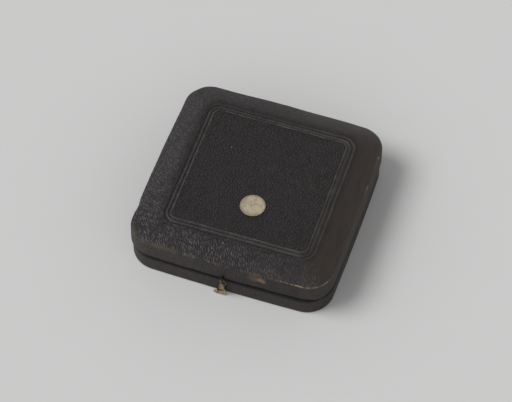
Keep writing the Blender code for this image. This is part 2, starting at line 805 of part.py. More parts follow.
def hinge_pin():
    half = HINGE_LENGTH / 2 + KNUCKLE_GAP
    nose = HINGE_PIN_RADIUS / 3
    profile = [
        (0.0, -half),
        (HINGE_PIN_RADIUS - nose, -half),
        (HINGE_PIN_RADIUS, -half + nose),
        (HINGE_PIN_RADIUS, half - nose),
        (HINGE_PIN_RADIUS - nose, half),
        (0.0, half),
    ]
    return turned("hinge_pin", profile, (0.0, HINGE_Y, HINGE_Z), (1.0, 0.0, 0.0), PIN_STEPS, brass())


def polar(radius, angle):
    """A point of the hook's outline: the angle runs from straight down towards its toe."""
    return Vector((-radius * math.sin(angle), -radius * math.cos(angle)))


def arc(radius, start, end, steps):
    return [polar(radius, start + (end - start) * step / steps) for step in range(steps + 1)]


def hook_outline():
    """Outline of the hook round its rivet: eye, arm, head, toe and the curved slot for the stud."""
    half_slot = STUD_RADIUS + SLOT_PLAY
    near = SLOT_AT - half_slot
    far = SLOT_AT + half_slot
    outer = far + TOE_WIDTH
    neck = math.asin(ARM_HALF_WIDTH / EYE_RADIUS)
    flare_share, round_share, heel_share, sole_share = 0.66, 0.3, 0.96, 0.3
    shoulder_share, armpit_share = 0.84, 0.6
    points = arc(EYE_RADIUS, neck, math.tau - neck, 3 * ARC_STEPS)
    head = [
        (ARM_HALF_WIDTH, -near * flare_share, near * round_share),
        (HEAD_HALF_WIDTH, -near, HEAD_HALF_WIDTH / 2),
        (HEAD_HALF_WIDTH, -outer * heel_share, HEAD_HALF_WIDTH / 2),
        (HEAD_HALF_WIDTH * sole_share, -outer, 0.0),
    ]
    points += rounded_profile([(ARM_HALF_WIDTH, 0.0, 0.0), *head])[1:-1]
    points += arc(outer, 0.0, TOE_SWEEP, 2 * ARC_STEPS)
    points.append(polar(outer - TOE_TIP_WIDTH, TOE_SWEEP))
    points += arc(far, TOE_SWEEP - TOE_BEND_AT / 2, 0.0, 2 * ARC_STEPS)
    centre = polar(SLOT_AT, 0.0)
    for step in range(1, 2 * ARC_STEPS):
        angle = math.pi * step / (2 * ARC_STEPS)
        points.append(centre + Vector((half_slot * math.sin(angle), -half_slot * math.cos(angle))))
    points += arc(near, 0.0, SHOULDER_SWEEP, ARC_STEPS)
    points.append(polar(near * shoulder_share, SHOULDER_SWEEP))
    points.append(Vector((-ARM_HALF_WIDTH, -near * armpit_share)))
    return points


def catch_hook():
    """The swing hook, cut from flat brass, its toe bent a little outwards for the finger."""
    bm = bmesh.new()
    corners = [bm.verts.new((point.x, 0.0, point.y)) for point in hook_outline()]
    face = bm.faces.new(corners)
    raised = bmesh.ops.extrude_face_region(bm, geom=[face])["geom"]
    moved = [item for item in raised if isinstance(item, bmesh.types.BMVert)]
    bmesh.ops.translate(bm, verts=moved, vec=(0.0, -CATCH_THICKNESS, 0.0))
    bmesh.ops.recalc_face_normals(bm, faces=bm.faces)
    faces = [face for face in bm.faces if len(face.verts) > 4]
    edges = list({edge for face in faces for edge in face.edges})
    chamfer = {"offset": CATCH_CHAMFER, "affect": "EDGES", "segments": 1, "profile": 0.5, "material": -1}
    bmesh.ops.bevel(bm, geom=edges, **chamfer)
    fold = polar(1.0, TOE_BEND_AT).to_3d().xzy
    towards_toe = Vector((fold.z, 0.0, -fold.x))
    everything = bm.verts[:] + bm.edges[:] + bm.faces[:]
    bmesh.ops.bisect_plane(bm, geom=everything, plane_co=(0.0, 0.0, 0.0), plane_no=towards_toe)
    toe = [vertex for vertex in bm.verts if beyond_fold(vertex.co, towards_toe)]
    lift = Matrix.Rotation(-TOE_LIFT, 3, fold)
    bmesh.ops.rotate(bm, verts=toe, cent=(0.0, -CATCH_THICKNESS, 0.0), matrix=lift)
    bmesh.ops.translate(bm, verts=bm.verts, vec=catch_point(CATCH_BACK, CATCH_HEIGHT))
    return combine(add_object("catch_hook", bm, brass()), front_hole(RIVET_RADIUS, CATCH_HEIGHT))


def beyond_fold(place, towards_toe):
    """Whether a point of the hook, seen from its rivet, belongs to the part of the toe that is bent."""
    return math.hypot(place.x, place.z) > SLOT_AT and place.dot(towards_toe) > MERGE_DISTANCE


def catch_washer():
    place = catch_point(BASE_FRONT - STACK_GAP, CATCH_HEIGHT)
    forward = (0.0, -1.0, 0.0)
    washer = rod("catch_washer", WASHER_RADIUS, WASHER_THICKNESS, place, forward, 2 * PIN_STEPS, brass())
    return combine(washer, front_hole(RIVET_RADIUS, CATCH_HEIGHT))


def catch_rivet():
    seat = catch_point(CATCH_FRONT - STACK_GAP, CATCH_HEIGHT)
    shank = (RIVET_RADIUS, RIVET_LENGTH)
    head = (RIVET_HEAD_RADIUS, RIVET_HEAD)
    return headed_pin("catch_rivet", shank, head, seat, (0.0, -1.0, 0.0), PIN_STEPS, brass())


def catch_stud():
    """Pin in the lid's front that the hook's slot takes when it is swung up."""
    seat = catch_point(CATCH_FRONT - STACK_GAP, STUD_HEIGHT)
    shank = (STUD_RADIUS, STUD_LENGTH)
    head = (STUD_HEAD_RADIUS, STUD_HEAD)
    return headed_pin("catch_stud", shank, head, seat, (0.0, -1.0, 0.0), PIN_STEPS, dark_brass())


def main():
    for item in list(bpy.data.objects):
        bpy.data.objects.remove(item)
    base_sheet()
    base_board()
    base_frame()
    base_cover()
    base_collar()
    bed_block()
    bed_velvet()
    well_lining()
    well_pad()
    hinge_leaf("base")
    hinge_nails("base")
    hinge_pin()
    catch_washer()
    catch_rivet()
    lid = [lid_frame(), lid_board(), lid_cover(), lid_lining(), lid_card(), lid_pad(), label()]
    lid += [hinge_leaf("lid"), *hinge_nails("lid"), catch_stud()]
    carried_by(joint_axis("lid_hinge_axis", (0.0, HINGE_Y, HINGE_Z)), lid)
    carried_by(joint_axis("catch_axis", catch_point(CATCH_BACK, CATCH_HEIGHT)), [catch_hook()])


main()
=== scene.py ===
"""Looks of a small presentation case for one medal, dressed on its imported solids.

Metres, +Z up. The catch faces -Y, the hinge +Y, and the case stands on the XY plane.
Leather, velvet, satin, label and catch are modelled here. The wood, the card, the sheet
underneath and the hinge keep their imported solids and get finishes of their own.
"""

import logging
import math
from collections.abc import Callable, Iterable, Mapping, Sequence
from dataclasses import dataclass
from enum import Enum

import bmesh
import bpy
from mathutils import Matrix, Vector, noise


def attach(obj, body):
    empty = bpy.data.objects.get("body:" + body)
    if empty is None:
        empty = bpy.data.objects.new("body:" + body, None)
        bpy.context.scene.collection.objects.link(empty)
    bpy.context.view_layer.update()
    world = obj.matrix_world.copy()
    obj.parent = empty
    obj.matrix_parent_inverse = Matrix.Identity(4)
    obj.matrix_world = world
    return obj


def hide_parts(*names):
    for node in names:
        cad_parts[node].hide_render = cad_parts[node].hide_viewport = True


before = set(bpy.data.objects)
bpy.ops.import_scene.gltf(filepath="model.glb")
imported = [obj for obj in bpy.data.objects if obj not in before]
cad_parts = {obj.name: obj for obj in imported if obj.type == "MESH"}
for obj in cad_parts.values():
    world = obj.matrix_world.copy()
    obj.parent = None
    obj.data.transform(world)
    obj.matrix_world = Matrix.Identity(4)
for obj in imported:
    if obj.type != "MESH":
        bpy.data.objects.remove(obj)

LOG = logging.getLogger("medal_case")
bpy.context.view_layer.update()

Colour = tuple[float, float, float]
Point = tuple[float, float, float]
Rule = Callable[[Vector, float], float]
RingMaker = Callable[[float, float], list[Vector]]
BEVEL_EDGES = {"affect": "EDGES", "profile": 0.5, "material": -1}
QUARTER_TURN = math.radians(90.0)
NO_DISTANCE = 1e-6
HIDDEN = -1.0


class Body(Enum):
    """The bodies that pieces ride on."""

    BASE = "case_base"
    LID = "lid"
    CATCH = "catch"


class Slot(Enum):
    """The record's material slots of the pieces that are modelled here."""

    LEATHER = "black_leather"
    VELVET = "plum_velvet"
    SATIN = "ivory_satin"
    BRASS = "aged_brass"
    DARK_BRASS = "blackened_brass"
    LABEL = "label_paper"


@dataclass(frozen=True)
class Mottle:
    """Soft noise in a material: its patches' size, octaves of finer ones, distortion, stretch."""

    size: float
    detail: float = 2.0
    swirl: float = 0.0
    stretch: Point | None = None


@dataclass(frozen=True)
class Scuff:
    """A spot where the leather's black skin is rubbed off."""

    centre: Point
    radii: Point
    colour: Colour


class Wire:
    """A value on its way through a material. Sums and products of it add Math nodes."""

    def __init__(self, bench: "Bench", socket: bpy.types.NodeSocket) -> None:
        """Holds a socket and the bench that it belongs to."""
        self.bench = bench
        self.socket = socket

    def __add__(self, other: "Wire | float") -> "Wire":
        """self + other."""
        return self.bench.maths("ADD", self, other)

    def __radd__(self, other: float) -> "Wire":
        """other + self."""
        return self.bench.maths("ADD", other, self)

    def __sub__(self, other: "Wire | float") -> "Wire":
        """self - other."""
        return self.bench.maths("SUBTRACT", self, other)

    def __rsub__(self, other: float) -> "Wire":
        """other - self."""
        return self.bench.maths("SUBTRACT", other, self)

    def __mul__(self, other: "Wire | float") -> "Wire":
        """self * other."""
        return self.bench.maths("MULTIPLY", self, other)

    def __rmul__(self, other: float) -> "Wire":
        """other * self."""
        return self.bench.maths("MULTIPLY", other, self)

    def __pow__(self, other: "Wire | float") -> "Wire":
        """self ** other."""
        return self.bench.maths("POWER", self, other)

    def between(self, low: float, high: float) -> "Wire":
        """Goes smoothly from 0 to 1 while the value goes from low to high.

        Args:
            low: value that gives 0.
            high: value that gives 1; it may be below low.

        Returns:
            The mask.
        """
        ends = {"From Min": low, "From Max": high, "Value": self}
        return self.bench.add("ShaderNodeMapRange", {"interpolation_type": "SMOOTHSTEP"}, ends)


class Bench:
    """A node tree in the making."""

    MIX_COLOURS = {"factor": 0, "first": 6, "second": 7, "result": 2}
    CREASE_WIDTH = 0.32
    SPOT_FRAY = 1.6
    SPOT_EDGE = (1.1, 0.7)

    def __init__(self, tree: bpy.types.NodeTree) -> None:
        """Takes the tree to work on."""
        self.nodes = tree.nodes
        self.links = tree.links

    def add(
        self,
        kind: str,
        settings: Mapping[str, object] | None = None,
        sockets: Mapping[str | int, object] | None = None,
        output: str | int = 0,
    ) -> Wire:
        """Adds one node.

        Args:
            kind: the node's type.
            settings: its properties, set first.
            sockets: what each input gets, a value or a wire.
            output: the output to go on from.

        Returns:
            The wire that leaves the node.
        """
        node = self.nodes.new(kind)
        for name, value in (settings or {}).items():
            setattr(node, name, value)
        for name, value in (sockets or {}).items():
            self.plug(node.inputs[name], value)
        return Wire(self, node.outputs[output])

    def plug(self, socket: bpy.types.NodeSocket, value: object) -> None:
        """Gives a socket what it is to have.

        Args:
            socket: an input.
            value: a value or a wire.
        """
        if isinstance(value, Wire):
            self.links.new(value.socket, socket)
        else:
            socket.default_value = value

    def maths(self, operation: str, *values: "Wire | float") -> Wire:
        """A Math node on one to three values."""
        return self.add("ShaderNodeMath", {"operation": operation}, dict(enumerate(values)))

    def place(self) -> Wire:
        """Object coordinates."""
        return self.add("ShaderNodeTexCoord", output="Object")

    def part(self, vector: Wire, axis: str) -> Wire:
        """One part of a vector."""
        return self.add("ShaderNodeSeparateXYZ", None, {"Vector": vector}, axis)

    def vector(self, x: Wire, y: Wire, z: Wire) -> Wire:
        """A vector of three parts."""
        return self.add("ShaderNodeCombineXYZ", None, {"X": x, "Y": y, "Z": z})

    def painted(self, name: str) -> Wire:
        """A mask that was painted on the mesh."""
        return self.add("ShaderNodeAttribute", {"attribute_name": name}, output="Fac")

    def scaled(self, vector: Wire, factors: Point) -> Wire:
        """A vector with each of its parts times a factor."""
        return self.add("ShaderNodeVectorMath", {"operation": "MULTIPLY"}, {0: vector, 1: factors})

    def cloud(self, place: Wire, mottle: Mottle) -> Wire:
        """Soft noise.

        Args:
            place: where it is read.
            mottle: what it is like.

        Returns:
            Values round 0.5.
        """
        where = place if mottle.stretch is None else self.scaled(place, mottle.stretch)
        sockets = {"Vector": where, "Scale": 1.0 / mottle.size, "Detail": mottle.detail}
        return self.add("ShaderNodeTexNoise", None, {**sockets, "Distortion": mottle.swirl})

    def pebbles(self, place: Wire, size: float) -> Wire:
        """Grain of leather.

        Args:
            place: where it is read.
            size: size of its pebbles.

        Returns:
            0 in the creases and 1 on top of each pebble.
        """
        sockets = {"Vector": place, "Scale": 1.0 / size}
        edge = self.add("ShaderNodeTexVoronoi", {"feature": "DISTANCE_TO_EDGE"}, sockets)
        return edge.between(0.0, self.CREASE_WIDTH)

    def spot(self, place: Wire, scuff: Scuff, ragged: Wire) -> Wire:
        """A worn spot with a ragged edge.

        Args:
            place: object coordinates.
            scuff: where it is and how large.
            ragged: noise that frays its edge.

        Returns:
            1 inside and 0 outside.
        """
        kind = "ShaderNodeVectorMath"
        away = self.add(kind, {"operation": "SUBTRACT"}, {0: place, 1: scuff.centre})
        shrunk = self.scaled(away, tuple(1.0 / radius for radius in scuff.radii))
        far = self.add(kind, {"operation": "LENGTH"}, {0: shrunk}, output="Value")
        return (far + (ragged - 0.5) * self.SPOT_FRAY).between(*self.SPOT_EDGE)

    def mix(self, factor: "Wire | float", first: "Wire | Colour", second: "Wire | Colour") -> Wire:
        """Mixes two colours.

        Args:
            factor: 0 for the first, 1 for the second.
            first: a colour.
            second: a colour.

        Returns:
            The mixed colour.
        """
        names = self.MIX_COLOURS
        colours = {names["first"]: self.opaque(first), names["second"]: self.opaque(second)}
        sockets = {names["factor"]: factor, **colours}
        return self.add("ShaderNodeMix", {"data_type": "RGBA"}, sockets, names["result"])

    @staticmethod
    def opaque(colour: "Wire | Colour") -> "Wire | tuple[float, ...]":
        """A colour as a socket takes it."""
        return colour if isinstance(colour, Wire) else (*colour, 1.0)


class MaterialBench(Bench):
    """A material in the making, with its Principled shader."""

    def __init__(self, name: str) -> None:
        """Starts a material.

        Args:
            name: its name.
        """
        self.material = bpy.data.materials.new(name)
        self.material.use_nodes = True
        super().__init__(self.material.node_tree)
        self.shader = self.nodes["Principled BSDF"]

    def finish(
        self,
        varied: Mapping[str, Wire],
        constant: Mapping[str, object],
        height: Wire | None = None,
    ) -> bpy.types.Material:
        """Joins everything to the shader.

        Args:
            varied: what changes over the surface, by the shader's socket.
            constant: what is the same all over.
            height: relief in metres, if there is any.

        Returns:
            The material.
        """
        for name, value in {**varied, **constant}.items():
            self.plug(self.shader.inputs[name], value)
        if height is not None:
            relief = {"Height": height, "Distance": 1.0, "Strength": 1.0}
            self.plug(self.shader.inputs["Normal"], self.add("ShaderNodeBump", None, relief))
        return self.material


@dataclass(frozen=True)
class BlackLeather:
    """Old long-grained black leather, browned where hands wore it, with painted light and shade.

    It reads seven masks that the covers paint: fine, long, brown with some painted light, one of
    painted shade, ridge with a painted highlight, wear and bare.
    """

    name: str
    scuffs: tuple[Scuff, ...] = ()
    pigment: Colour = (0.0168, 0.0120, 0.0126)
    # painted shade: the near-black that shaded places and crease lines are mixed towards
    shade_and_black: Colour = (0.0064, 0.0044, 0.0045)
    browned: Colour = (0.0280, 0.0204, 0.0146)
    rubbed: Colour = (0.056, 0.050, 0.027)
    bared: Colour = (0.165, 0.130, 0.092)
    # pale dusting on the tooled lines, together with a painted highlight on them
    dust_and_highlight: Colour = (0.050, 0.044, 0.034)
    # painted highlight: the light violet of the long grain's glinting top faces
    violet_highlight: Colour = (0.106, 0.088, 0.097)
    fine_grain: float = 0.00108
    fine_height: float = 0.000270
    # painted shade: how strongly the fine grain's crease lines are darkened
    fine_crease_shade: float = 1.75
    long_grain: float = 0.00066
    long_height: float = 0.000200
    long_stretch: float = 0.32
    long_tops: float = 1.6
    lean_left: float = 1.0
    lean_right: float = 0.35
    lean_ends: tuple[float, float] = (-0.028, 0.000)
    lean_line: float = -0.034
    patches: Mottle = Mottle(0.012, 3.0)
    speckle: Mottle = Mottle(0.0009)
    speckle_height: float = 0.000012
    streaks: Mottle = Mottle(0.0032, 3.0, 0.6, (0.45, 1.0, 1.0))
    streak_height: float = 0.000050
    rubs: Mottle = Mottle(0.0011, 3.0, 0.0, (1.0, 0.12, 1.0))
    dashes: Mottle = Mottle(0.001716)
    gloss: float = 0.50

    def along_grain(self, bench: Bench, place: Wire) -> Wire:
        """Coordinates in which the long grain is round. It leans, more so at the front's left.

        Args:
            bench: the material's bench.
            place: object coordinates.

        Returns:
            The coordinates.
        """
        x, y, z = (bench.part(place, axis) for axis in "XYZ")
        lean = self.lean_left + (self.lean_right - self.lean_left) * x.between(*self.lean_ends)
        stretch = self.long_stretch
        return bench.vector(x + lean * (y - self.lean_line), y * stretch, z * stretch)

    def material(self) -> bpy.types.Material:
        """Mixes the leather: pigment, browning with painted light, painted shade, painted
        highlights on the grain, dusting with painted highlights, rubbing and bare spots.

        Returns:
            The material.
        """
        bench = MaterialBench(self.name)
        place = bench.place()
        along = self.along_grain(bench, place)
        patches, speckle = bench.cloud(place, self.patches), bench.cloud(place, self.speckle)
        streaks, rubs = bench.cloud(place, self.streaks), bench.cloud(place, self.rubs)
        dashes = bench.cloud(along, self.dashes)
        fine, long = bench.pebbles(place, self.fine_grain), bench.pebbles(along, self.long_grain)
        names = "fine", "long", "brown", "shade_and_black", "ridge", "wear", "bare"
        fine_share, long_share, brown_and_lit, shade_and_black, ridge, wear, bare = map(bench.painted, names)
        # painted shade in the grain's crease lines
        crease_shade = (1.0 - fine) * fine_share * self.fine_crease_shade + (1.0 - long) * long_share
        # painted highlight: the long grain's top faces, in dashes, where they glint
        top_highlights = long**self.long_tops * long_share * dashes.between(0.18, 0.62)
        handling = 0.15 + patches * 0.8 + rubs.between(0.36, 0.64) * 0.9
        # the brown mask also carries painted light on the lit walls
        brown = brown_and_lit * handling + (patches - 0.5) * 0.5
        rubbed = (wear * (0.6 + speckle * 0.6) * (0.5 + streaks * 0.6)).between(0.14, 0.85)
        # dusting on the tooled lines, with a painted highlight
        highlit_dusting = (ridge * (0.5 + speckle * 0.9) * (0.6 + streaks * 0.6)).between(0.10, 1.05)
        bared = (bare * (0.2 + speckle * 1.4)).between(0.35, 0.85)
        # coats: browning with painted light on the walls, painted shade, painted highlight on the
        # grain, rubbing, dusting with painted highlight, bare leather
        coats = [
            (brown, self.browned),
            (shade_and_black * 0.8 + crease_shade, self.shade_and_black),
            (top_highlights * 0.7, self.violet_highlight),
            (rubbed, self.rubbed),
            (highlit_dusting, self.dust_and_highlight),
            (bared, self.bared),
        ]
        coats += [(bench.spot(place, scuff, speckle), scuff.colour) for scuff in self.scuffs]
        colour = self.pigment
        for share, coat in coats:
            colour = bench.mix(share, colour, coat)
        dull = (patches - 0.5) * 0.14 + rubbed * 0.12 + crease_shade * 0.15 + shade_and_black * 0.25 - top_highlights * 0.22
        grain = fine * fine_share * self.fine_height + long * long_share * self.long_height
        height = grain + streaks * self.streak_height + speckle * self.speckle_height
        varied = {"Base Color": colour, "Roughness": dull + self.gloss}
        return bench.finish(varied, {"IOR": 1.45}, height)


@dataclass(frozen=True)
class Cloth:
    """Velvet or satin: a colour with soft patches, a nap or weave, and its sheen."""

    name: str
    shade: Colour
    light: Colour
    threads: Mottle
    relief: float
    roughness: float
    sheen: float
    sheen_roughness: float
    patches: Mottle = Mottle(0.011, 3.0, 0.4)
    crushed: Mottle = Mottle(0.0035, 2.0, 0.8)

    def material(self) -> bpy.types.Material:
        """Mixes the cloth.

        Returns:
            The material.
        """
        bench = MaterialBench(self.name)
        place = bench.place()
        patches, crushed = bench.cloud(place, self.patches), bench.cloud(place, self.crushed)
        threads = bench.cloud(place, self.threads)
        tone = (patches * 0.6 + crushed * 0.25 + threads * 0.25).between(0.38, 0.70)
        varied = {
            "Base Color": bench.mix(tone, self.shade, self.light),
            "Roughness": self.roughness + (crushed - 0.5) * 0.2,
        }
        constant = {
            "Sheen Weight": self.sheen,
            "Sheen Roughness": self.sheen_roughness,
            "Sheen Tint": (*self.light, 1.0),
        }
        return bench.finish(varied, constant, (threads + crushed) * self.relief)


@dataclass(frozen=True)
class Brass:
    """Old brass, brown in its hollows and rubbed bright where it is touched."""

    name: str
    bright: Colour = (0.47, 0.36, 0.22)
    tarnish: Colour = (0.110, 0.076, 0.046)
    tarnish_ends: tuple[float, float] = (0.66, 0.38)
    roughness: float = 0.42
    patches: Mottle = Mottle(0.0016, 3.0, 0.5)
    pits: Mottle = Mottle(0.00035)
    pit_depth: float = 0.000012
    scratches: Mottle = Mottle(0.00016, stretch=(0.25, 1.0, 1.0))
    scratch_depth: float = 0.000004

    def material(self) -> bpy.types.Material:
        """Mixes the brass.

        Returns:
            The material.
        """
        bench = MaterialBench(self.name)
        place = bench.place()
        patches, pits = bench.cloud(place, self.patches), bench.cloud(place, self.pits)
        scratches = bench.cloud(place, self.scratches)
        dirt = (patches * 0.7 + pits * 0.3).between(*self.tarnish_ends)
        varied = {
            "Base Color": bench.mix(1.0 - dirt, self.tarnish, self.bright),
            "Roughness": self.roughness - (1.0 - dirt) * 0.10 + (scratches - 0.5) * 0.3,
            "Metallic": 1.0 - dirt * 0.25,
        }
        height = pits * self.pit_depth + scratches * self.scratch_depth
        return bench.finish(varied, {"IOR": 1.45}, height)


@dataclass(frozen=True)
class Paper:
    """Paper, card and bookcloth: fibres, stains and a dull surface. It reads the mask wear."""

    name: str
    clean: Colour
    stained: Colour
    fibres: Mottle
    relief: float
    stains: Mottle = Mottle(0.0030, 4.0, 0.5)
    roughness: float = 0.82

    def material(self) -> bpy.types.Material:
        """Mixes the paper.

        Returns:
            The material.
        """
        bench = MaterialBench(self.name)
        place = bench.place()
        stains, fibres = bench.cloud(place, self.stains), bench.cloud(place, self.fibres)
        dirt = (stains + (fibres - 0.5) * 0.5 + bench.painted("wear") * 0.45).between(0.38, 0.80)
        colour = bench.mix(dirt, self.clean, self.stained)
        varied = {"Base Color": colour, "Roughness": self.roughness + dirt * 0.1}
        return bench.finish(varied, {}, (fibres + stains) * self.relief)


@dataclass(frozen=True)
class Wood:
    """Planed pale wood with its grain along X."""

    name: str
    early: Colour = (0.43, 0.30, 0.17)
    late: Colour = (0.27, 0.165, 0.085)
    rings: Mottle = Mottle(0.0022, 3.0, 1.2, (0.12, 1.0, 1.0))
    pores: Mottle = Mottle(0.00035, stretch=(0.12, 1.0, 1.0))
    relief: float = 0.00003
    roughness: float = 0.62

    def material(self) -> bpy.types.Material:
        """Mixes the wood.

        Returns:
            The material.
        """
        bench = MaterialBench(self.name)
        place = bench.place()
        rings, pores = bench.cloud(place, self.rings), bench.cloud(place, self.pores)
        colour = bench.mix((rings * 0.75 + pores * 0.25).between(0.36, 0.66), self.early, self.late)
        varied = {"Base Color": colour, "Roughness": self.roughness + pores * 0.2}
        return bench.finish(varied, {}, (rings + pores) * self.relief)


@dataclass(frozen=True)
class FloorPaint:
    """Plain pale matt paint."""

    light: Colour = (0.578, 0.578, 0.575)
    shade: float = 0.985
    mottle: Mottle = Mottle(0.03)

    def material(self) -> bpy.types.Material:
        """Mixes the paint.

        Returns:
            The material.
        """
        bench = MaterialBench("floor_paint")
        dark = tuple(part * self.shade for part in self.light)
        colour = bench.mix(bench.cloud(bench.place(), self.mottle), dark, self.light)
        return bench.finish({"Base Color": colour}, {"Roughness": 0.9, "Specular IOR Level": 0.0})


LID_SCUFFS = (
    Scuff((0.0126, -0.0400, 0.0154), (0.0034, 0.0014, 0.0024), (0.045, 0.029, 0.018)),
    Scuff((0.0146, -0.0401, 0.0146), (0.0019, 0.0014, 0.0014), (0.118, 0.072, 0.042)),
    Scuff((0.0176, -0.0370, 0.0176), (0.0013, 0.0006, 0.0012), (0.042, 0.021, 0.017)),
    Scuff((-0.0147, 0.0112, 0.0201), (0.00035, 0.00035, 0.0010), (0.11, 0.10, 0.09)),
)
LID_LEATHER = BlackLeather("lid_black_leather", LID_SCUFFS)
BASE_LEATHER = BlackLeather("base_black_leather")
PLUM_VELVET = Cloth(
    "plum_velvet",
    shade=(0.050, 0.006, 0.018),
    light=(0.115, 0.018, 0.042),
    threads=Mottle(0.00022),
    relief=0.00004,
    roughness=0.85,
    sheen=0.7,
    sheen_roughness=0.35,
)
IVORY_SATIN = Cloth(
    "ivory_satin",
    shade=(0.565, 0.495, 0.365),
    light=(0.635, 0.565, 0.430),
    threads=Mottle(0.00020, stretch=(6.0, 0.6, 1.0)),
    relief=0.00001,
    roughness=0.42,
    sheen=0.15,
    sheen_roughness=0.3,
)
AGED_BRASS = Brass("aged_brass")
BLACKENED_BRASS = Brass("blackened_brass", (0.05, 0.04, 0.03), (0.02, 0.016, 0.013))
FIBRE_STRETCH = (1.0, 0.35, 1.0)
LABEL_PAPER = Paper(
    "aged_label_paper",
    clean=(0.385, 0.325, 0.235),
    stained=(0.235, 0.185, 0.125),
    fibres=Mottle(0.0005, 3.0, stretch=FIBRE_STRETCH),
    relief=0.00001,
)
GREY_CARD = Paper(
    "grey_card",
    clean=(0.32, 0.30, 0.26),
    stained=(0.24, 0.22, 0.18),
    fibres=Mottle(0.0006, 3.0, stretch=FIBRE_STRETCH),
    relief=0.00002,
)
BLACK_BOOKCLOTH = Paper(
    "black_bookcloth",
    clean=(0.024, 0.023, 0.022),
    stained=(0.034, 0.030, 0.026),
    fibres=Mottle(0.0004, 3.0, stretch=FIBRE_STRETCH),
    relief=0.00003,
    stains=Mottle(0.012, 4.0, 0.5),
)
PALE_WOOD = Wood("pale_wood")


@dataclass(frozen=True)
class Outline:
    """A square seen from above, with round corners and slightly bowed sides."""

    half_x: float
    half_y: float
    corner: float
    bow: float = 0.0

    def within(self, inset: float, least_corner: float = 0.0025) -> "Outline":
        """The outline of a surface that lies further in."""
        corner = max(self.corner - inset, least_corner)
        return Outline(self.half_x - inset, self.half_y - inset, corner, self.bow)

    def points(self, fineness: tuple[int, int]) -> list[Vector]:
        """Points round the outline, anticlockwise from its +X side.

        Args:
            fineness: steps on each side and on each corner.

        Returns:
            The points, at height zero.
        """
        side_steps, corner_steps = fineness
        points = []
        for quarter in range(4):
            turn = Matrix.Rotation(QUARTER_TURN * quarter, 3, "Z")
            along, across = self.half_x, self.half_y
            if quarter % 2 == 0:
                along, across = across, along
            for step in range(side_steps):
                share = 2.0 * step / side_steps - 1.0
                points.append(turn @ Vector((across, share * (along - self.corner), 0.0)))
            centre = Vector((across - self.corner, along - self.corner, 0.0))
            for step in range(corner_steps):
                angle = QUARTER_TURN * step / corner_steps
                arm = Vector((math.cos(angle), math.sin(angle), 0.0)) * self.corner
                points.append(turn @ (centre + arm))
        for point in points:
            share_x = min(abs(point.x) / self.half_x, 1.0)
            share_y = min(abs(point.y) / self.half_y, 1.0)
            point.x *= 1.0 + self.bow / self.half_x * (1.0 - share_y**2)
            point.y *= 1.0 + self.bow / self.half_y * (1.0 - share_x**2)
        return points


def circle(radius: float, fineness: tuple[int, int]) -> list[Vector]:
    """As many points as an outline has, evenly round a circle from the same side.

    Args:
        radius: the circle's radius.
        fineness: the outline's steps on each side and on each corner.

    Returns:
        The points, at height zero.
    """
    side_steps, corner_steps = fineness
    count = 4 * (side_steps + corner_steps)
    angles = [math.tau * (step - side_steps / 2) / count for step in range(count)]
    return [Vector((radius * math.cos(angle), radius * math.sin(angle), 0.0)) for angle in angles]


def raised(points: Iterable[Vector], height: float) -> list[Vector]:
    """The same points at a height."""
    return [Vector((point.x, point.y, height)) for point in points]


def blended(
    first: Sequence[Vector], second: Sequence[Vector], share: float, lift: float
) -> list[Vector]:
    """A ring between two rings, raised by a lift."""
    up = Vector((0.0, 0.0, lift))
    return [start.lerp(end, share) + up for start, end in zip(first, second)]


def rounded(corners: Sequence[tuple[float, float, float]], steps: int = 8) -> list[Vector]:
    """Turns a profile's corners into points.

    Args:
        corners: (inset, height, radius) of each; a radius rounds the corner.
        steps: steps of each arc.

    Returns:
        The profile's points.
    """
    points = []
    for index, (across, up, radius) in enumerate(corners):
        here = Vector((across, up))
        if radius == 0.0:
            points.append(here)
            continue
        before = (Vector(corners[index - 1][:2]) - here).normalized()
        after = (Vector(corners[(index + 1) % len(corners)][:2]) - here).normalized()
        opening = before.angle(after)
        reach = radius / math.tan(opening / 2)
        centre = here + (before + after).normalized() * radius / math.sin(opening / 2)
        start = here + before * reach - centre
        end = here + after * reach - centre
        sweep = math.pi - opening
        for step in range(steps + 1):
            share = step / steps
            weights = math.sin((1.0 - share) * sweep), math.sin(share * sweep)
            points.append(centre + (start * weights[0] + end * weights[1]) / math.sin(sweep))
    return points


def divided(profile: Sequence[Vector], longest: float) -> list[Vector]:
    """The same profile with more points.

    Args:
        profile: its points.
        longest: the longest way from one point to the next.

    Returns:
        The points.
    """
    points = [profile[0]]
    for start, end in zip(profile, profile[1:]):
        steps = max(1, math.ceil((end - start).length / longest))
        points += [start.lerp(end, step / steps) for step in range(1, steps + 1)]
    return points


def oblong(outer: float, inner: float, low: float, high: float) -> list[Vector]:
    """The profile of a thin upright strip."""
    return [Vector(corner) for corner in ((outer, low), (outer, high), (inner, high), (inner, low))]


def shares(steps: int) -> list[float]:
    """Even shares from one step up to 1."""
    return [step / steps for step in range(1, steps + 1)]


def hump(value: float, centre: float, reach: float) -> float:
    """1 at a centre, falling off smoothly on both sides over a reach."""
    return math.exp(-(((value - centre) / reach) ** 2))


@dataclass(frozen=True)
class Ramp:
    """Goes evenly from one result to another while a value goes from start to end."""

    start: float
    end: float
    first: float = 0.0
    last: float = 1.0

    def __call__(self, value: float) -> float:
        """The result at a value."""
        share = min(max((value - self.start) / (self.end - self.start), 0.0), 1.0)
        return self.first + (self.last - self.first) * share


@dataclass(frozen=True)
class Line:
    """A soft line: its strength at a place, falling off on both sides over a reach."""

    place: float
    reach: float
    strength: float = 1.0

    def __call__(self, value: float) -> float:
        """The strength at a value."""
        return self.strength * hump(value, self.place, self.reach)


@dataclass(frozen=True)
class Ripple:
    """Smooth noise with patches of a size, up to a height above and below a middle."""

    size: float
    height: float = 1.0
    seed: float = 0.0
    middle: float = 0.0

    def __call__(self, place: Vector) -> float:
        """The noise at a place."""
        shift = Vector((self.seed, self.seed, self.seed))
        return self.middle + self.height * noise.noise(place / self.size + shift)


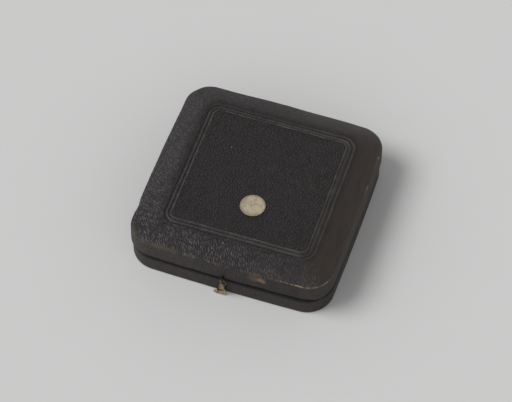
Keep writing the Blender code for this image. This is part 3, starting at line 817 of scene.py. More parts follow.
class Form:
    """A mesh in the making: rings extruded one from the next, and what is done to them.

    Each vertex has a station: its distance along the profile, or HIDDEN where nothing shows.
    """

    def __init__(self, name: str) -> None:
        """Starts an empty mesh.

        Args:
            name: the piece's name.
        """
        self.name = name
        self.bm = bmesh.new()
        self.station = self.bm.verts.layers.float.new("station")
        self.ring: list[bmesh.types.BMVert] = []
        self.first: list[bmesh.types.BMVert] = []

    def begin(self, points: Sequence[Vector], station: float) -> None:
        """Lays the first ring.

        Args:
            points: where it lies.
            station: distance along the profile, or HIDDEN.
        """
        made = bmesh.ops.create_circle(self.bm, segments=len(points), radius=1.0)
        self.ring = made["verts"]
        self.first = self.ring
        self._settle(points, station)

    def extend(self, points: Sequence[Vector], station: float = HIDDEN) -> None:
        """Extrudes the last ring to new places.

        Args:
            points: where the new ring lies.
            station: distance along the profile, or HIDDEN.
        """
        made = bmesh.ops.extrude_edge_only(self.bm, edges=self._edges(self.ring))["geom"]
        fresh = {item for item in made if isinstance(item, bmesh.types.BMVert)}
        self.ring = [self._partner(vertex, fresh) for vertex in self.ring]
        self._settle(points, station)

    def follow(
        self, ring: RingMaker, profile: Sequence[Vector], hidden_start: bool = False
    ) -> list[float]:
        """Lays a ring at a profile's first point and extrudes it along the others.

        Args:
            ring: makes the ring of a point: an inset or a radius, and a height.
            profile: the points.
            hidden_start: whether nothing shows at the first point.

        Returns:
            The points' stations.
        """
        self.begin(ring(*profile[0]), HIDDEN if hidden_start else 0.0)
        stations = [0.0]
        for last, point in zip(profile, profile[1:]):
            stations.append(stations[-1] + (point - last).length)
            self.extend(ring(*point), stations[-1])
        return stations

    def _settle(self, points: Sequence[Vector], station: float) -> None:
        """Moves the last ring's vertices to their places.

        Args:
            points: where it lies.
            station: distance along the profile.
        """
        for vertex, point in zip(self.ring, points):
            vertex.co = point
            vertex[self.station] = station

    @staticmethod
    def _partner(vertex: bmesh.types.BMVert, fresh: set) -> bmesh.types.BMVert:
        """The new vertex that was extruded from an old one."""
        ends = (edge.other_vert(vertex) for edge in vertex.link_edges)
        return next(end for end in ends if end in fresh)

    def _edges(self, ring: Sequence[bmesh.types.BMVert]) -> list[bmesh.types.BMEdge]:
        """The edges round a ring."""
        return [self.bm.edges.get((ring[index - 1], ring[index])) for index in range(len(ring))]

    def cap(self, ring: Sequence[bmesh.types.BMVert]) -> None:
        """Closes a ring with one face."""
        bmesh.ops.contextual_create(self.bm, geom=self._edges(ring))

    def join_ends(self) -> None:
        """Joins the last ring to the first."""
        edges = self._edges(self.ring) + self._edges(self.first)
        bmesh.ops.bridge_loops(self.bm, edges=edges)

    def press(self, amount: Rule) -> None:
        """Moves each shown vertex outwards.

        Args:
            amount: how far, as a rule on a vertex's place and station.
        """
        bmesh.ops.recalc_face_normals(self.bm, faces=self.bm.faces)
        self.bm.normal_update()
        shown = [vertex for vertex in self.bm.verts if vertex[self.station] != HIDDEN]
        moves = [vertex.normal * amount(vertex.co, vertex[self.station]) for vertex in shown]
        for vertex, move in zip(shown, moves):
            vertex.co += move

    def paint(self, masks: Mapping[str, Rule]) -> None:
        """Paints masks on the vertices.

        Args:
            masks: for each mask, a rule on a vertex's place and station.
        """
        for name, rule in masks.items():
            layer = self.bm.verts.layers.float.new(name)
            for vertex in self.bm.verts:
                station = vertex[self.station]
                vertex[layer] = 0.0 if station == HIDDEN else rule(vertex.co, station)

    def done(self, material: bpy.types.Material, sharp_angle: float = 40.0) -> bpy.types.Object:
        """Turns the mesh into an object.

        Args:
            material: what it is made of.
            sharp_angle: angle in degrees from which an edge is shown sharp.

        Returns:
            The object, at the origin.
        """
        bmesh.ops.recalc_face_normals(self.bm, faces=self.bm.faces)
        mesh = bpy.data.meshes.new(self.name)
        self.bm.to_mesh(mesh)
        self.bm.free()
        mesh.shade_smooth()
        mesh.set_sharp_from_angle(angle=math.radians(sharp_angle))
        piece = bpy.data.objects.new(self.name, mesh)
        bpy.context.scene.collection.objects.link(piece)
        mesh.materials.append(material)
        return piece


def turned(form: Form, profile: Sequence[tuple[float, float]], place: Vector, steps: int) -> None:
    """Turns a profile round an axis that points out of the front.

    Args:
        form: what the turned shape is added to.
        profile: (radius, distance forwards) from the back to the front.
        place: where the axis starts.
        steps: steps of the full turn.
    """
    bm = form.bm
    places = [(radius, 0.0, ahead) for radius, ahead in profile]
    corners = [bmesh.ops.create_vert(bm, co=corner)["vert"][0] for corner in places]
    edges = [bm.edges.new(pair) for pair in zip(corners, corners[1:])]
    full_turn = {"axis": (0.0, 0.0, 1.0), "angle": math.tau, "steps": steps, "use_merge": True}
    bmesh.ops.spin(bm, geom=corners + edges, cent=(0.0, 0.0, 0.0), **full_turn)
    bmesh.ops.remove_doubles(bm, verts=bm.verts, dist=NO_DISTANCE)
    forward = Matrix.Rotation(QUARTER_TURN, 4, "X")
    bmesh.ops.transform(bm, verts=bm.verts, matrix=Matrix.Translation(place) @ forward)


def carve(piece: bpy.types.Object, cutters: Iterable[bpy.types.Object]) -> None:
    """Cuts shapes out of a piece and removes them.

    Args:
        piece: what is cut.
        cutters: the shapes.
    """
    for cutter in cutters:
        step = piece.modifiers.new("carve", "BOOLEAN")
        step.operation = "DIFFERENCE"
        step.solver = "EXACT"
        step.object = cutter
        apply_modifiers(piece)
        bpy.data.objects.remove(cutter)


def apply_modifiers(piece: bpy.types.Object) -> None:
    """Keeps what a piece's modifiers make of its mesh.

    Args:
        piece: the piece.
    """
    shaped = piece.evaluated_get(bpy.context.evaluated_depsgraph_get())
    mesh = bpy.data.meshes.new_from_object(shaped)
    piece.modifiers.clear()
    old = piece.data
    piece.data = mesh
    bpy.data.meshes.remove(old)


def hand_over(
    piece: bpy.types.Object, body: Body, slot: Slot, nodes: Sequence[str]
) -> bpy.types.Object:
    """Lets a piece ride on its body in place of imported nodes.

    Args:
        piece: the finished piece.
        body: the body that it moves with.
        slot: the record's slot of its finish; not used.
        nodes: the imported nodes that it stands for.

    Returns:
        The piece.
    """
    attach(piece, body.value)
    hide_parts(*nodes)
    LOG.info("%s: %d faces on %s", piece.name, len(piece.data.polygons), body.value)
    return piece


def dress_nodes(names: Iterable[str], material: bpy.types.Material) -> None:
    """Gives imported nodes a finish.

    Args:
        names: the nodes.
        material: the finish.
    """
    for name in names:
        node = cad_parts[name]
        node.data.materials.clear()
        node.data.materials.append(material)
        LOG.info("%s: dressed in %s", name, material.name)


def nodes_named(start: str) -> list[str]:
    """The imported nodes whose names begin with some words."""
    return sorted(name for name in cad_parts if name.startswith(start))


@dataclass(frozen=True)
class HingeRoom:
    """The room that the leather leaves for the butt hinge."""

    y: float = 0.04042
    z: float = 0.00815
    half_length: float = 0.02225
    radius: float = 0.00135
    segments: int = 32
    reach: float = 0.00375

    def cutters(self, low: float, high: float) -> list[bpy.types.Object]:
        """Cutting shapes for the knuckles and for one leaf.

        Args:
            low: lower end of the leaf's room.
            high: its upper end.

        Returns:
            Two objects.
        """
        length = 2.0 * self.half_length
        barrel = Form("barrel_room")
        ends = {"radius1": self.radius, "radius2": self.radius, "depth": length}
        bmesh.ops.create_cone(barrel.bm, cap_ends=True, segments=self.segments, **ends)
        along_x = Matrix.Rotation(QUARTER_TURN, 4, "Y")
        lie = Matrix.Translation((0.0, self.y, self.z)) @ along_x
        bmesh.ops.transform(barrel.bm, verts=barrel.bm.verts, matrix=lie)
        leaf = Form("leaf_room")
        bmesh.ops.create_cube(leaf.bm, size=1.0)
        bmesh.ops.scale(leaf.bm, verts=leaf.bm.verts, vec=(length, self.reach, high - low))
        middle = (0.0, self.y - self.reach / 2, (low + high) / 2)
        bmesh.ops.translate(leaf.bm, verts=leaf.bm.verts, vec=middle)
        plain = bpy.data.materials.get("cut") or bpy.data.materials.new("cut")
        return [barrel.done(plain), leaf.done(plain)]


LID_OUTLINE = Outline(0.0400, 0.0395, 0.0095, 0.00067)
BASE_OUTLINE = Outline(0.0397, 0.0392, 0.0100, 0.00067)


@dataclass
class SquareWork:
    """Work whose rings follow the outline of one half of the case."""

    outline: Outline
    fineness: tuple[int, int] = (40, 20)
    longest_step: float = 0.001

    def ring(self, inset: float, height: float) -> list[Vector]:
        """A ring that lies in from the outline."""
        return raised(self.outline.within(inset).points(self.fineness), height)


@dataclass
class Cover(SquareWork):
    """A leather cover, whose rim stands a little open along the front."""

    fineness: tuple[int, int] = (58, 22)
    longest_step: float = 0.0009
    thickness: float = 0.0008
    gap_depth: float = 0.0026
    gap_front: Ramp = Ramp(0.004, -0.026)
    hinge_overlap: float = 0.0002

    def openness(self, place: Vector) -> float:
        """How far the rim's edge stands open.

        Args:
            place: a place on the rim.

        Returns:
            1 on its outer edge in front, less further in and further back.
        """
        inset = min(self.outline.half_x - abs(place.x), self.outline.half_y + place.y)
        outer = max(1.0 - max(inset, 0.0) / self.gap_depth, 0.0)
        return self.gap_front(place.y) * outer


@dataclass(frozen=True)
class Stations:
    """Where the lid's skin passes its rim, arris, bevel's end and the border's inner line."""

    rim: float
    arris: float
    bevel_end: float
    inner: float


@dataclass(frozen=True)
class LidTrace:
    """Something that use has left on the lid's leather, as a rule on a place and its station.

    Ramps and lines are read on x, y, their sum or difference, or a distance from a station.
    """

    at: Stations
    wander: Ripple = Ripple(0.0055, 0.00016, 21.0)

    def offset(self, place: Vector, station: float) -> float:
        """Distance outwards from the border's inner line, which wanders a little."""
        return self.at.inner - station + self.wander(place)


@dataclass(frozen=True)
class LidWaves(LidTrace):
    """How far the leather stands out or in: slow waves, ripples, dents and uneven tooling."""

    waves: tuple[Ripple, ...] = (Ripple(0.011, 0.00016), Ripple(0.0042, 0.00006, 7.0))
    tooled_waves: tuple[Ripple, ...] = (Ripple(0.0019, 0.00008, 3.0), Ripple(0.0045, 0.00007, 13.0))
    tooled_reach: float = 0.0022
    panel_share: float = 0.25
    dents: tuple[tuple[Point, float, float], ...] = (
        ((-0.0404, -0.0240, 0.0162), 0.0024, 0.00040),
        ((-0.0385, 0.0375, 0.0160), 0.0022, 0.00035),
        ((0.0400, 0.0120, 0.0166), 0.0016, 0.00022),
        ((0.0395, -0.0330, 0.0166), 0.0020, 0.00020),
    )

    def __call__(self, place: Vector, station: float) -> float:
        """How far the leather is moved outwards.

        Args:
            place: a place on the skin.
            station: its distance along the profile.

        Returns:
            The distance.
        """
        out = sum(wave(place) for wave in self.waves)
        for dent, reach, depth in self.dents:
            out -= depth * hump((place - Vector(dent)).length, 0.0, reach)
        border = hump(station, (self.at.bevel_end + self.at.inner) / 2, self.tooled_reach)
        out += border * sum(wave(place) for wave in self.tooled_waves)
        share = self.panel_share if station > self.at.inner else 1.0
        return out * share * min(station / self.at.rim, 1.0)


@dataclass(frozen=True)
class FineGrain(LidTrace):
    """Fine grain: full on the panel, and faint on the bevel, less so on its left."""

    bevel: Ramp = Ramp(0.020, -0.010, 0.12, 0.38)

    def __call__(self, place: Vector, station: float) -> float:
        """The grain's share at a place and its station."""
        return 1.0 if station > self.at.inner else self.bevel(place.x)


@dataclass(frozen=True)
class LongGrain(LidTrace):
    """Long grain on the front and left bands of the bevel, and a little on the walls."""

    beyond: float = 0.0005
    front: Ramp = Ramp(-0.027, -0.031)
    front_share: Ramp = Ramp(0.026, -0.020, 0.20, 1.0)
    corner_x: Ramp = Ramp(-0.026, -0.033)
    corner_y: Ramp = Ramp(-0.006, -0.022)
    left: Ramp = Ramp(-0.028, -0.034)
    left_share: Ramp = Ramp(0.022, -0.012, 0.34, 0.66)
    wall_ends: float = 0.0006
    wall_share: float = 0.15

    def __call__(self, place: Vector, station: float) -> float:
        """The grain's share.

        Args:
            place: a place on the skin.
            station: its distance along the profile.

        Returns:
            The share.
        """
        if station > self.at.bevel_end + self.beyond:
            return 0.0
        front = self.front(place.y) * self.front_share(place.x)
        corner = self.corner_x(place.x) * self.corner_y(place.y)
        left = self.left(place.x) * self.left_share(place.y)
        share = self.wall_share if station < self.at.arris - self.wall_ends else 1.0
        return share * max(front, corner, left)


@dataclass(frozen=True)
class BrowningAndWallLight(LidTrace):
    """Brown from hands on the walls and the right side; on the walls it also paints light, more
    towards the lit left.
    """

    panel: float = 0.08
    least: float = 0.18
    right: Ramp = Ramp(0.026, 0.034, 0.0, 0.85)
    # painted light: the walls browner, and so lighter, towards the lit left
    wall: Ramp = Ramp(0.005, -0.025, 0.45, 1.20)
    below_arris: Ramp = Ramp(0.001, -0.001)

    def __call__(self, place: Vector, station: float) -> float:
        """How brown the leather is, with painted light on the walls.

        Args:
            place: a place on the skin.
            station: its distance along the profile.

        Returns:
            The share.
        """
        if station > self.at.inner:
            return self.panel
        wall = self.wall(place.x) * self.below_arris(station - self.at.arris)
        return max(self.right(place.x), wall, self.least)


@dataclass(frozen=True)
class ShadeAndBlackness(LidTrace):
    """Painted shade, mixed towards near-black, in the sunk lines, the gutter, the band beside the
    border, on the walls' right and between lid and base. It also darkens the panel a little, and
    the front band towards its right.
    """

    panel_shade: Line = Line(-0.0018, 0.0013)
    panel_shade_side: Ramp = Ramp(0.0, 0.020, 0.10, 0.40)
    panel_edge: Ramp = Ramp(0.0, -0.0005, 0.0, 0.42)
    # painted shade in the sunk lines and in the gutter outside the border
    sunk: tuple[Line, ...] = (
        Line(0.00095, 0.00028, 0.5),
        Line(0.0025, 0.00042, 0.9),
        Line(0.0041, 0.00080, 1.1),
    )
    # painted shadow in the gutter along the left band
    left: Ramp = Ramp(-0.026, -0.029)
    left_gutter_shade: Line = Line(0.0036, 0.0010)
    # painted shade on the band beside the border
    band_shade_outer: Ramp = Ramp(0.0070, 0.0042, 0.0, 0.70)
    band_shade_inner: Ramp = Ramp(0.0030, 0.0040)
    # darker along the front band towards its right
    front: Ramp = Ramp(-0.028, -0.032)
    front_right: Ramp = Ramp(-0.020, 0.020, 0.0, 0.85)
    front_end: Ramp = Ramp(0.034, 0.028)
    # painted shade on the walls, stronger towards the right, away from the light
    wall: Ramp = Ramp(-0.022, 0.018, 0.02, 0.57)
    below_arris: Ramp = Ramp(0.0, -0.001)
    # painted shade in the gap between lid and base
    parting_shade: Ramp = Ramp(0.0004, -0.0004, 0.0, 1.1)
    mottle: Ripple = Ripple(0.004, 0.5, 6.0, 0.85)

    def __call__(self, place: Vector, station: float) -> float:
        """How dark the leather is made, mostly as painted shade.

        Args:
            place: a place on the skin.
            station: its distance along the profile.

        Returns:
            The share.
        """
        x, y = place.x, place.y
        offset = self.offset(place, station)
        share = max(
            self.panel_shade(offset) * self.panel_shade_side(x - y),
            self.panel_edge(offset),
            *(line(offset) for line in self.sunk),
            self.left(x) * self.left_gutter_shade(offset),
            self.band_shade_outer(offset) * self.band_shade_inner(offset),
            self.front(y) * self.front_right(x) * self.front_end(x),
            self.wall(x) * self.below_arris(station - self.at.arris),
        )
        return max(share * self.mottle(place), self.parting_shade(station - self.at.rim))


@dataclass(frozen=True)
class DustAndHighlight(LidTrace):
    """Pale dusting on the border's raised lines with a painted highlight on them, hazier at the
    right and at the back.
    """

    # dusting and a painted highlight on the raised lines
    lines: tuple[Line, ...] = (Line(0.0001, 0.00036), Line(0.00152, 0.00032, 0.52))
    outer: Line = Line(0.0032, 0.00036)
    outer_right: Ramp = Ramp(0.0, 0.030, 0.25, 0.70)
    outer_left: Ramp = Ramp(-0.025, -0.029, 0.0, 0.25)
    haze: Line = Line(0.0006, 0.0011, 0.42)
    haze_side: Ramp = Ramp(0.004, 0.030)
    haze_mottle: Ripple = Ripple(0.0019, 0.9, 17.0, 1.0)
    front: Ramp = Ramp(-0.024, -0.020, 0.72, 0.97)
    mottle: Ripple = Ripple(0.0026, 1.0, 2.0, 0.9)

    def __call__(self, place: Vector, station: float) -> float:
        """How much dusting and painted highlight the leather has.

        Args:
            place: a place on the skin.
            station: its distance along the profile.

        Returns:
            The share.
        """
        x, y = place.x, place.y
        offset = self.offset(place, station)
        share = max(
            *(line(offset) for line in self.lines),
            self.outer(offset) * (self.outer_right(x) - self.outer_left(x)),
            self.haze(offset) * self.haze_side(x + y) * self.haze_mottle(place),
        )
        return share * self.front(y) * self.mottle(place)


@dataclass(frozen=True)
class Rubbing(LidTrace):
    """Rubbed leather: along the arris, at the back corner, on the rim and across the panel."""

    arris_reach: Ramp = Ramp(0.000, -0.030, 0.00085, 0.00155)
    right: Ramp = Ramp(0.036, 0.040)
    right_patches: Ripple = Ripple(0.006, 1.0, 3.0)
    right_share: Ramp = Ramp(-0.2, 0.6, 0.35, 0.85)
    front: Ramp = Ramp(-0.030, -0.036)
    front_share: Ramp = Ramp(-0.004, -0.024, 0.50, 0.80)
    back_corner: tuple[float, float] = (0.0370, 0.0385)
    corner_reach: float = 0.0055
    least: float = 0.15
    rim: Line = Line(0.0, 0.0006, 0.25)
    panel_side: Ramp = Ramp(-0.018, 0.012)
    panel_patches: Ripple = Ripple(0.0036, 1.0, 31.0)
    panel_share: Ramp = Ramp(-0.25, 0.55, 0.0, 0.42)
    mottle: Ripple = Ripple(0.0035, 0.6, 5.0, 0.95)

    def __call__(self, place: Vector, station: float) -> float:
        """How rubbed the leather is.

        Args:
            place: a place on the skin.
            station: its distance along the profile.

        Returns:
            The share.
        """
        x, y = place.x, place.y
        arris = hump(station, self.at.arris, self.arris_reach(x))
        right = self.right(x) * self.right_share(self.right_patches(place))
        front = self.front(y) * self.front_share(x)
        corner = hump((place.xy - Vector(self.back_corner)).length, 0.0, self.corner_reach)
        elsewhere = self.rim(station - self.at.rim)
        if station > self.at.inner:
            elsewhere = self.panel_share(self.panel_patches(place)) * self.panel_side(x + y)
        share = arris * max(right, front, corner, self.least)
        return min(share * self.mottle(place) + elsewhere, 1.0)


@dataclass(frozen=True)
class Baring(LidTrace):
    """Where the arris is worn through: front right, on the right side and at the back corner."""

    line: Line = Line(0.0001, 0.00026)
    front_x: Ramp = Ramp(0.018, 0.024, 0.0, 0.95)
    front_y: Ramp = Ramp(-0.029, -0.0335)
    front_mottle: Ripple = Ripple(0.003, 0.7, 8.0, 0.95)
    right_from: float = 0.038
    right: tuple[Line, ...] = (
        Line(0.0120, 0.0012, 1.3),
        Line(0.0269, 0.0010, 1.3),
        Line(0.0088, 0.0007, 1.3),
    )
    specks: Ripple = Ripple(0.0014, 1.0, 11.0)
    speck_share: Ramp = Ramp(0.45, 0.60, 0.0, 0.8)
    speck_front: Ramp = Ramp(-0.037, -0.039)
    corner: Line = Line(-0.0030, 0.0034, 1.4)
    corner_out: Ramp = Ramp(0.064, 0.070)

    def __call__(self, place: Vector, station: float) -> float:
        """How bare the leather is.

        Args:
            place: a place on the skin.
            station: its distance along the profile.

        Returns:
            The share.
        """
        x, y = place.x, place.y
        spots = [
            self.front_x(x) * self.front_y(y) * self.front_mottle(place),
            self.speck_share(self.specks(place)) * self.speck_front(y),
            self.corner(x - y) * self.corner_out(x + y),
        ]
        if x > self.right_from:
            spots += [line(y) for line in self.right]
        return self.line(station - self.at.arris) * max(spots)


@dataclass
class LidCover(Cover):
    """The lid's leather: rim, sides, arris, crowned bevel, tooled border and panel in one skin."""

    outline: Outline = LID_OUTLINE
    turn_in: float = 0.0038
    turn_in_top: float = 0.00905
    rim: float = 0.00845
    rim_round: float = 0.00080
    arris: float = 0.0167
    arris_round: float = 0.0013
    height: float = 0.0201
    bevel_start: float = 0.002
    bevel_crown: float = 0.00045
    bevel_steps: int = 26
    inside_shares: tuple[float, float] = (0.3, 0.65)
    panel: Outline = Outline(0.0269, 0.0268, 0.0024)
    panel_shift: tuple[float, float] = (0.0006, 0.0002)
    panel_turn: float = math.radians(0.44)
    panel_steps: int = 18
    panel_bunching: float = 1.2
    panel_centre: float = 0.05
    border_width: float = 0.0033
    border_drop: float = 0.00030
    border_step: float = 0.00015
    border_end: float = -0.0008
    sunk_lines: tuple[Line, ...] = (
        Line(0.00085, 0.00030, 0.00022),
        Line(0.0024, 0.00044, 0.00032),
        Line(-0.0003, 0.00018, 0.00008),
    )
    raised_lines: tuple[Line, ...] = (
        Line(0.0002, 0.00032, 0.00014),
        Line(0.00152, 0.00034, 0.00016),
    )
    gap_rise: Line = Line(0.034, 0.024, 0.00095)
    gap_least: float = 0.00025

    def panel_ring(self, offset: float, height: float) -> list[Vector]:
        """A ring of the tooled panel, which lies a little off centre and a little turned.

        Args:
            offset: distance outwards from the border's inner line.
            height: its height.

        Returns:
            The ring.
        """
        panel = self.panel
        corner = panel.corner + max(offset, 0.0)
        outline = Outline(panel.half_x + offset, panel.half_y + offset, corner)
        turn = Matrix.Rotation(self.panel_turn, 4, "Z")
        place = Matrix.Translation((*self.panel_shift, height)) @ turn
        return [place @ point for point in outline.points(self.fineness)]

    def border_ring(self, offset: float) -> list[Vector]:
        """A ring of the tooled border, which slopes outwards under its sunk and raised lines.

        Args:
            offset: distance outwards from the border's inner line.

        Returns:
            The ring.
        """
        drop = self.border_drop * max(offset, 0.0) / self.border_width
        lines = sum(line(offset) for line in self.raised_lines)
        lines -= sum(line(offset) for line in self.sunk_lines)
        return self.panel_ring(offset, self.height - drop + lines)

    def slope(self) -> float:
        """Rise of the bevel for each metre inwards."""
        run = self.outline.half_x - self.panel.half_x - self.border_width
        return (self.height - self.border_drop - self.arris) / run

    def walls(self) -> list[Vector]:
        """The profile from the turned-in edge, round the rim and up the side to the arris.

        Returns:
            Its points.
        """
        corners = [
            (self.turn_in, self.turn_in_top, 0.0),
            (self.turn_in, self.rim, 0.0),
            (0.0, self.rim, self.rim_round),
            (0.0, self.arris, self.arris_round),
            (self.bevel_start / self.slope() / 2, self.arris + self.bevel_start, 0.0),
        ]
        return divided(rounded(corners)[:-1], self.longest_step)

    def build(self) -> tuple[Form, Stations]:
        """Makes the skin.

        Returns:
            The skin, and where it passes its main lines.
        """
        form = Form("lid_leather")
        profile = self.walls()
        passed = form.follow(self.ring, profile)
        near_rim, below_arris = self.rim + self.rim_round, self.arris
        rim = max(station for station, point in zip(passed, profile) if point.y < near_rim)
        arris = max(station for station, point in zip(passed, profile) if point.y < below_arris)
        lower, upper = self.ring(*profile[-1]), self.border_ring(self.border_width)
        run = (upper[0] - lower[0]).length
        for share in shares(self.bevel_steps):
            crown = self.bevel_crown * 4 * share * (1.0 - share)
            form.extend(blended(lower, upper, share, crown), passed[-1] + run * share)
        bevel_end = passed[-1] + run
        inner = bevel_end + self.border_width
        offset = self.border_width - self.border_step
        while offset > self.border_end:
            form.extend(self.border_ring(offset), inner - offset)
            offset -= self.border_step
        outer = self.panel_ring(offset, self.height)
        centre = Vector((*self.panel_shift, self.height))
        for step in range(self.panel_steps):
            way = (step / (self.panel_steps - 1)) ** self.panel_bunching
            inwards = (1.0 - self.panel_centre) * way
            ring = [centre.lerp(point, 1.0 - inwards) for point in outer]
            form.extend(ring, inner - offset + inwards * (self.panel.half_x + offset))
        form.cap(form.ring)
        self.line_inside(form)
        return form, Stations(rim, arris + self.arris_round / 3, bevel_end, inner)

    def line_inside(self, form: Form) -> None:
        """Adds the skin's inner side, from its first ring up to the ceiling.

        Args:
            form: the skin.
        """
        depth = self.thickness
        foot = self.arris - depth * math.hypot(1.0, self.slope())
        flat = (self.height - depth - foot) / self.slope()
        form.ring = form.first
        form.extend(self.ring(depth, self.turn_in_top))
        for inset in (depth, *(flat * share for share in self.inside_shares)):
            crown = self.bevel_crown * 4 * inset / flat * (1.0 - inset / flat)
            form.extend(self.ring(inset, foot + self.slope() * inset + crown))
        form.extend(self.ring(flat, self.height - depth))
        form.cap(form.ring)

    def open_gap(self, form: Form) -> None:
        """Curls the rim's outer edge up where the lid no longer closes tightly, right of the catch.

        Args:
            form: the skin.
        """
        for vertex in form.bm.verts:
            place = vertex.co
            if place.y < 0.0 and place.z < self.arris:
                share = (self.arris - place.z) / (self.arris - self.rim)
                rise = self.gap_least + self.gap_rise(place.x)
                vertex.co.z += rise * share**2 * self.openness(place)

    def make(self, material: bpy.types.Material, room: HingeRoom) -> bpy.types.Object:
        """Builds, dents, paints and cuts the skin.

        Args:
            material: the leather.
            room: what is cut out for the hinge.

        Returns:
            The piece.
        """
        form, at = self.build()
        form.press(LidWaves(at))
        self.open_gap(form)
        # the masks also paint light on the walls, shade in the sunk lines, on the right and between
        # lid and base, and a highlight on the tooled lines
        form.paint({
            "fine": FineGrain(at),
            "long": LongGrain(at),
            "brown": BrowningAndWallLight(at),
            "shade_and_black": ShadeAndBlackness(at),
            "ridge": DustAndHighlight(at),
            "wear": Rubbing(at),
            "bare": Baring(at),
        })
        piece = form.done(material)
        carve(piece, room.cutters(room.z, self.turn_in_top + self.hinge_overlap))
        return hand_over(piece, Body.LID, Slot.LEATHER, ["lid_cover"])


@dataclass
class BaseCover(Cover):
    """The base's leather: turned in over the rim, down the sides and under the board."""

    outline: Outline = BASE_OUTLINE
    pared: float = 0.0006
    turn_in: float = 0.0042
    turn_in_foot: float = 0.00725
    rim: float = 0.00785
    rim_round: float = 0.00075
    gap_height: float = 0.002
    gap_drop: float = 0.00075
    foot: float = 0.0001
    foot_round: float = 0.0005
    under: float = 0.0034
    waves: tuple[Ripple, ...] = (Ripple(0.010, 0.00008, 4.0), Ripple(0.0038, 0.000032, 9.0))
    waves_above_foot: Ramp = Ramp(0.0, 0.002)
    waves_below_rim: Ramp = Ramp(0.0, 0.001)
    fine_share: float = 0.35
    rubbed_foot: Line = Line(0.0, 0.0009, 0.6)
    rubbed_rim: Line = Line(0.0, 0.0006, 0.45)
    rubbed_mottle: Ripple = Ripple(0.004, 0.8, 5.0, 0.6)
    brown_share: float = 0.50
    brown_foot: Line = Line(0.0, 0.003, 0.15)
    black_share: float = 0.12
    # painted shade in the gap between lid and base
    base_gap_shade: Ramp = Ramp(0.0008, -0.0002, 0.0, 1.2)
    # painted shade above the foot, stronger towards the right
    base_right_shade: Ramp = Ramp(-0.020, 0.010, 0.0, 0.16)
    black_height: Ramp = Ramp(0.002, 0.006)

    def make(self, material: bpy.types.Material, room: HingeRoom) -> bpy.types.Object:
        """Builds, paints and cuts the skin.

        Args:
            material: the leather.
            room: what is cut out for the hinge.

        Returns:
            The piece.
        """
        corners = [
            (self.turn_in, self.turn_in_foot, 0.0),
            (self.turn_in, self.rim, 0.0),
            (0.0, self.rim, self.rim_round),
            (0.0, self.foot, self.foot_round),
            (self.under, self.foot, 0.0),
        ]
        form = Form("base_leather")
        form.follow(self.ring, divided(rounded(corners), self.longest_step))
        inside = self.foot + self.pared
        form.extend(self.ring(self.under, inside))
        form.extend(self.ring(self.thickness, inside))
        form.extend(self.ring(self.thickness, self.turn_in_foot))
        form.join_ends()
        form.press(self.lie)
        self.open_gap(form)
        # the last mask paints shade between lid and base and on the right side
        masks = {"wear": self.rubbed, "fine": self.grain, "brown": self.brown, "shade_and_black": self.black}
        form.paint(masks)
        piece = form.done(material)
        carve(piece, room.cutters(self.turn_in_foot - self.hinge_overlap, room.z))
        return hand_over(piece, Body.BASE, Slot.LEATHER, ["base_cover"])

    def open_gap(self, form: Form) -> None:
        """Wears the rim's outer edge down along the front.

        Args:
            form: the skin.
        """
        low = self.rim - self.gap_height
        for vertex in form.bm.verts:
            if vertex.co.y < 0.0 and vertex.co.z > low:
                share = (vertex.co.z - low) / self.gap_height
                vertex.co.z -= self.gap_drop * share * self.openness(vertex.co)

    def lie(self, place: Vector, station: float) -> float:
        """Slow waves on the sides, none on the turned-in parts, at a place and its station."""
        side = self.waves_above_foot(place.z - self.foot) * self.waves_below_rim(self.rim - place.z)
        return side * sum(wave(place) for wave in self.waves)

    def rubbed(self, place: Vector, station: float) -> float:
        """Rubbed at the foot and, less, at the rim."""
        edges = self.rubbed_foot(place.z - self.foot) + self.rubbed_rim(place.z - self.rim)
        return edges * self.rubbed_mottle(place)

    def grain(self, place: Vector, station: float) -> float:
        """A little fine grain all round."""
        return self.fine_share

    def brown(self, place: Vector, station: float) -> float:
        """Browned all round, more at the foot."""
        return self.brown_share + self.brown_foot(place.z - self.foot)

    def black(self, place: Vector, station: float) -> float:
        """Painted shade between lid and base and, above the foot, towards the right; a little dark
        all round.

        Args:
            place: a place on the skin.
            station: its distance along the profile.

        Returns:
            The share.
        """
        rim_ends = self.turn_in + self.rim - self.turn_in_foot
        side = self.black_share + self.base_right_shade(place.x) * self.black_height(place.z)
        return max(self.base_gap_shade(station - rim_ends), side)


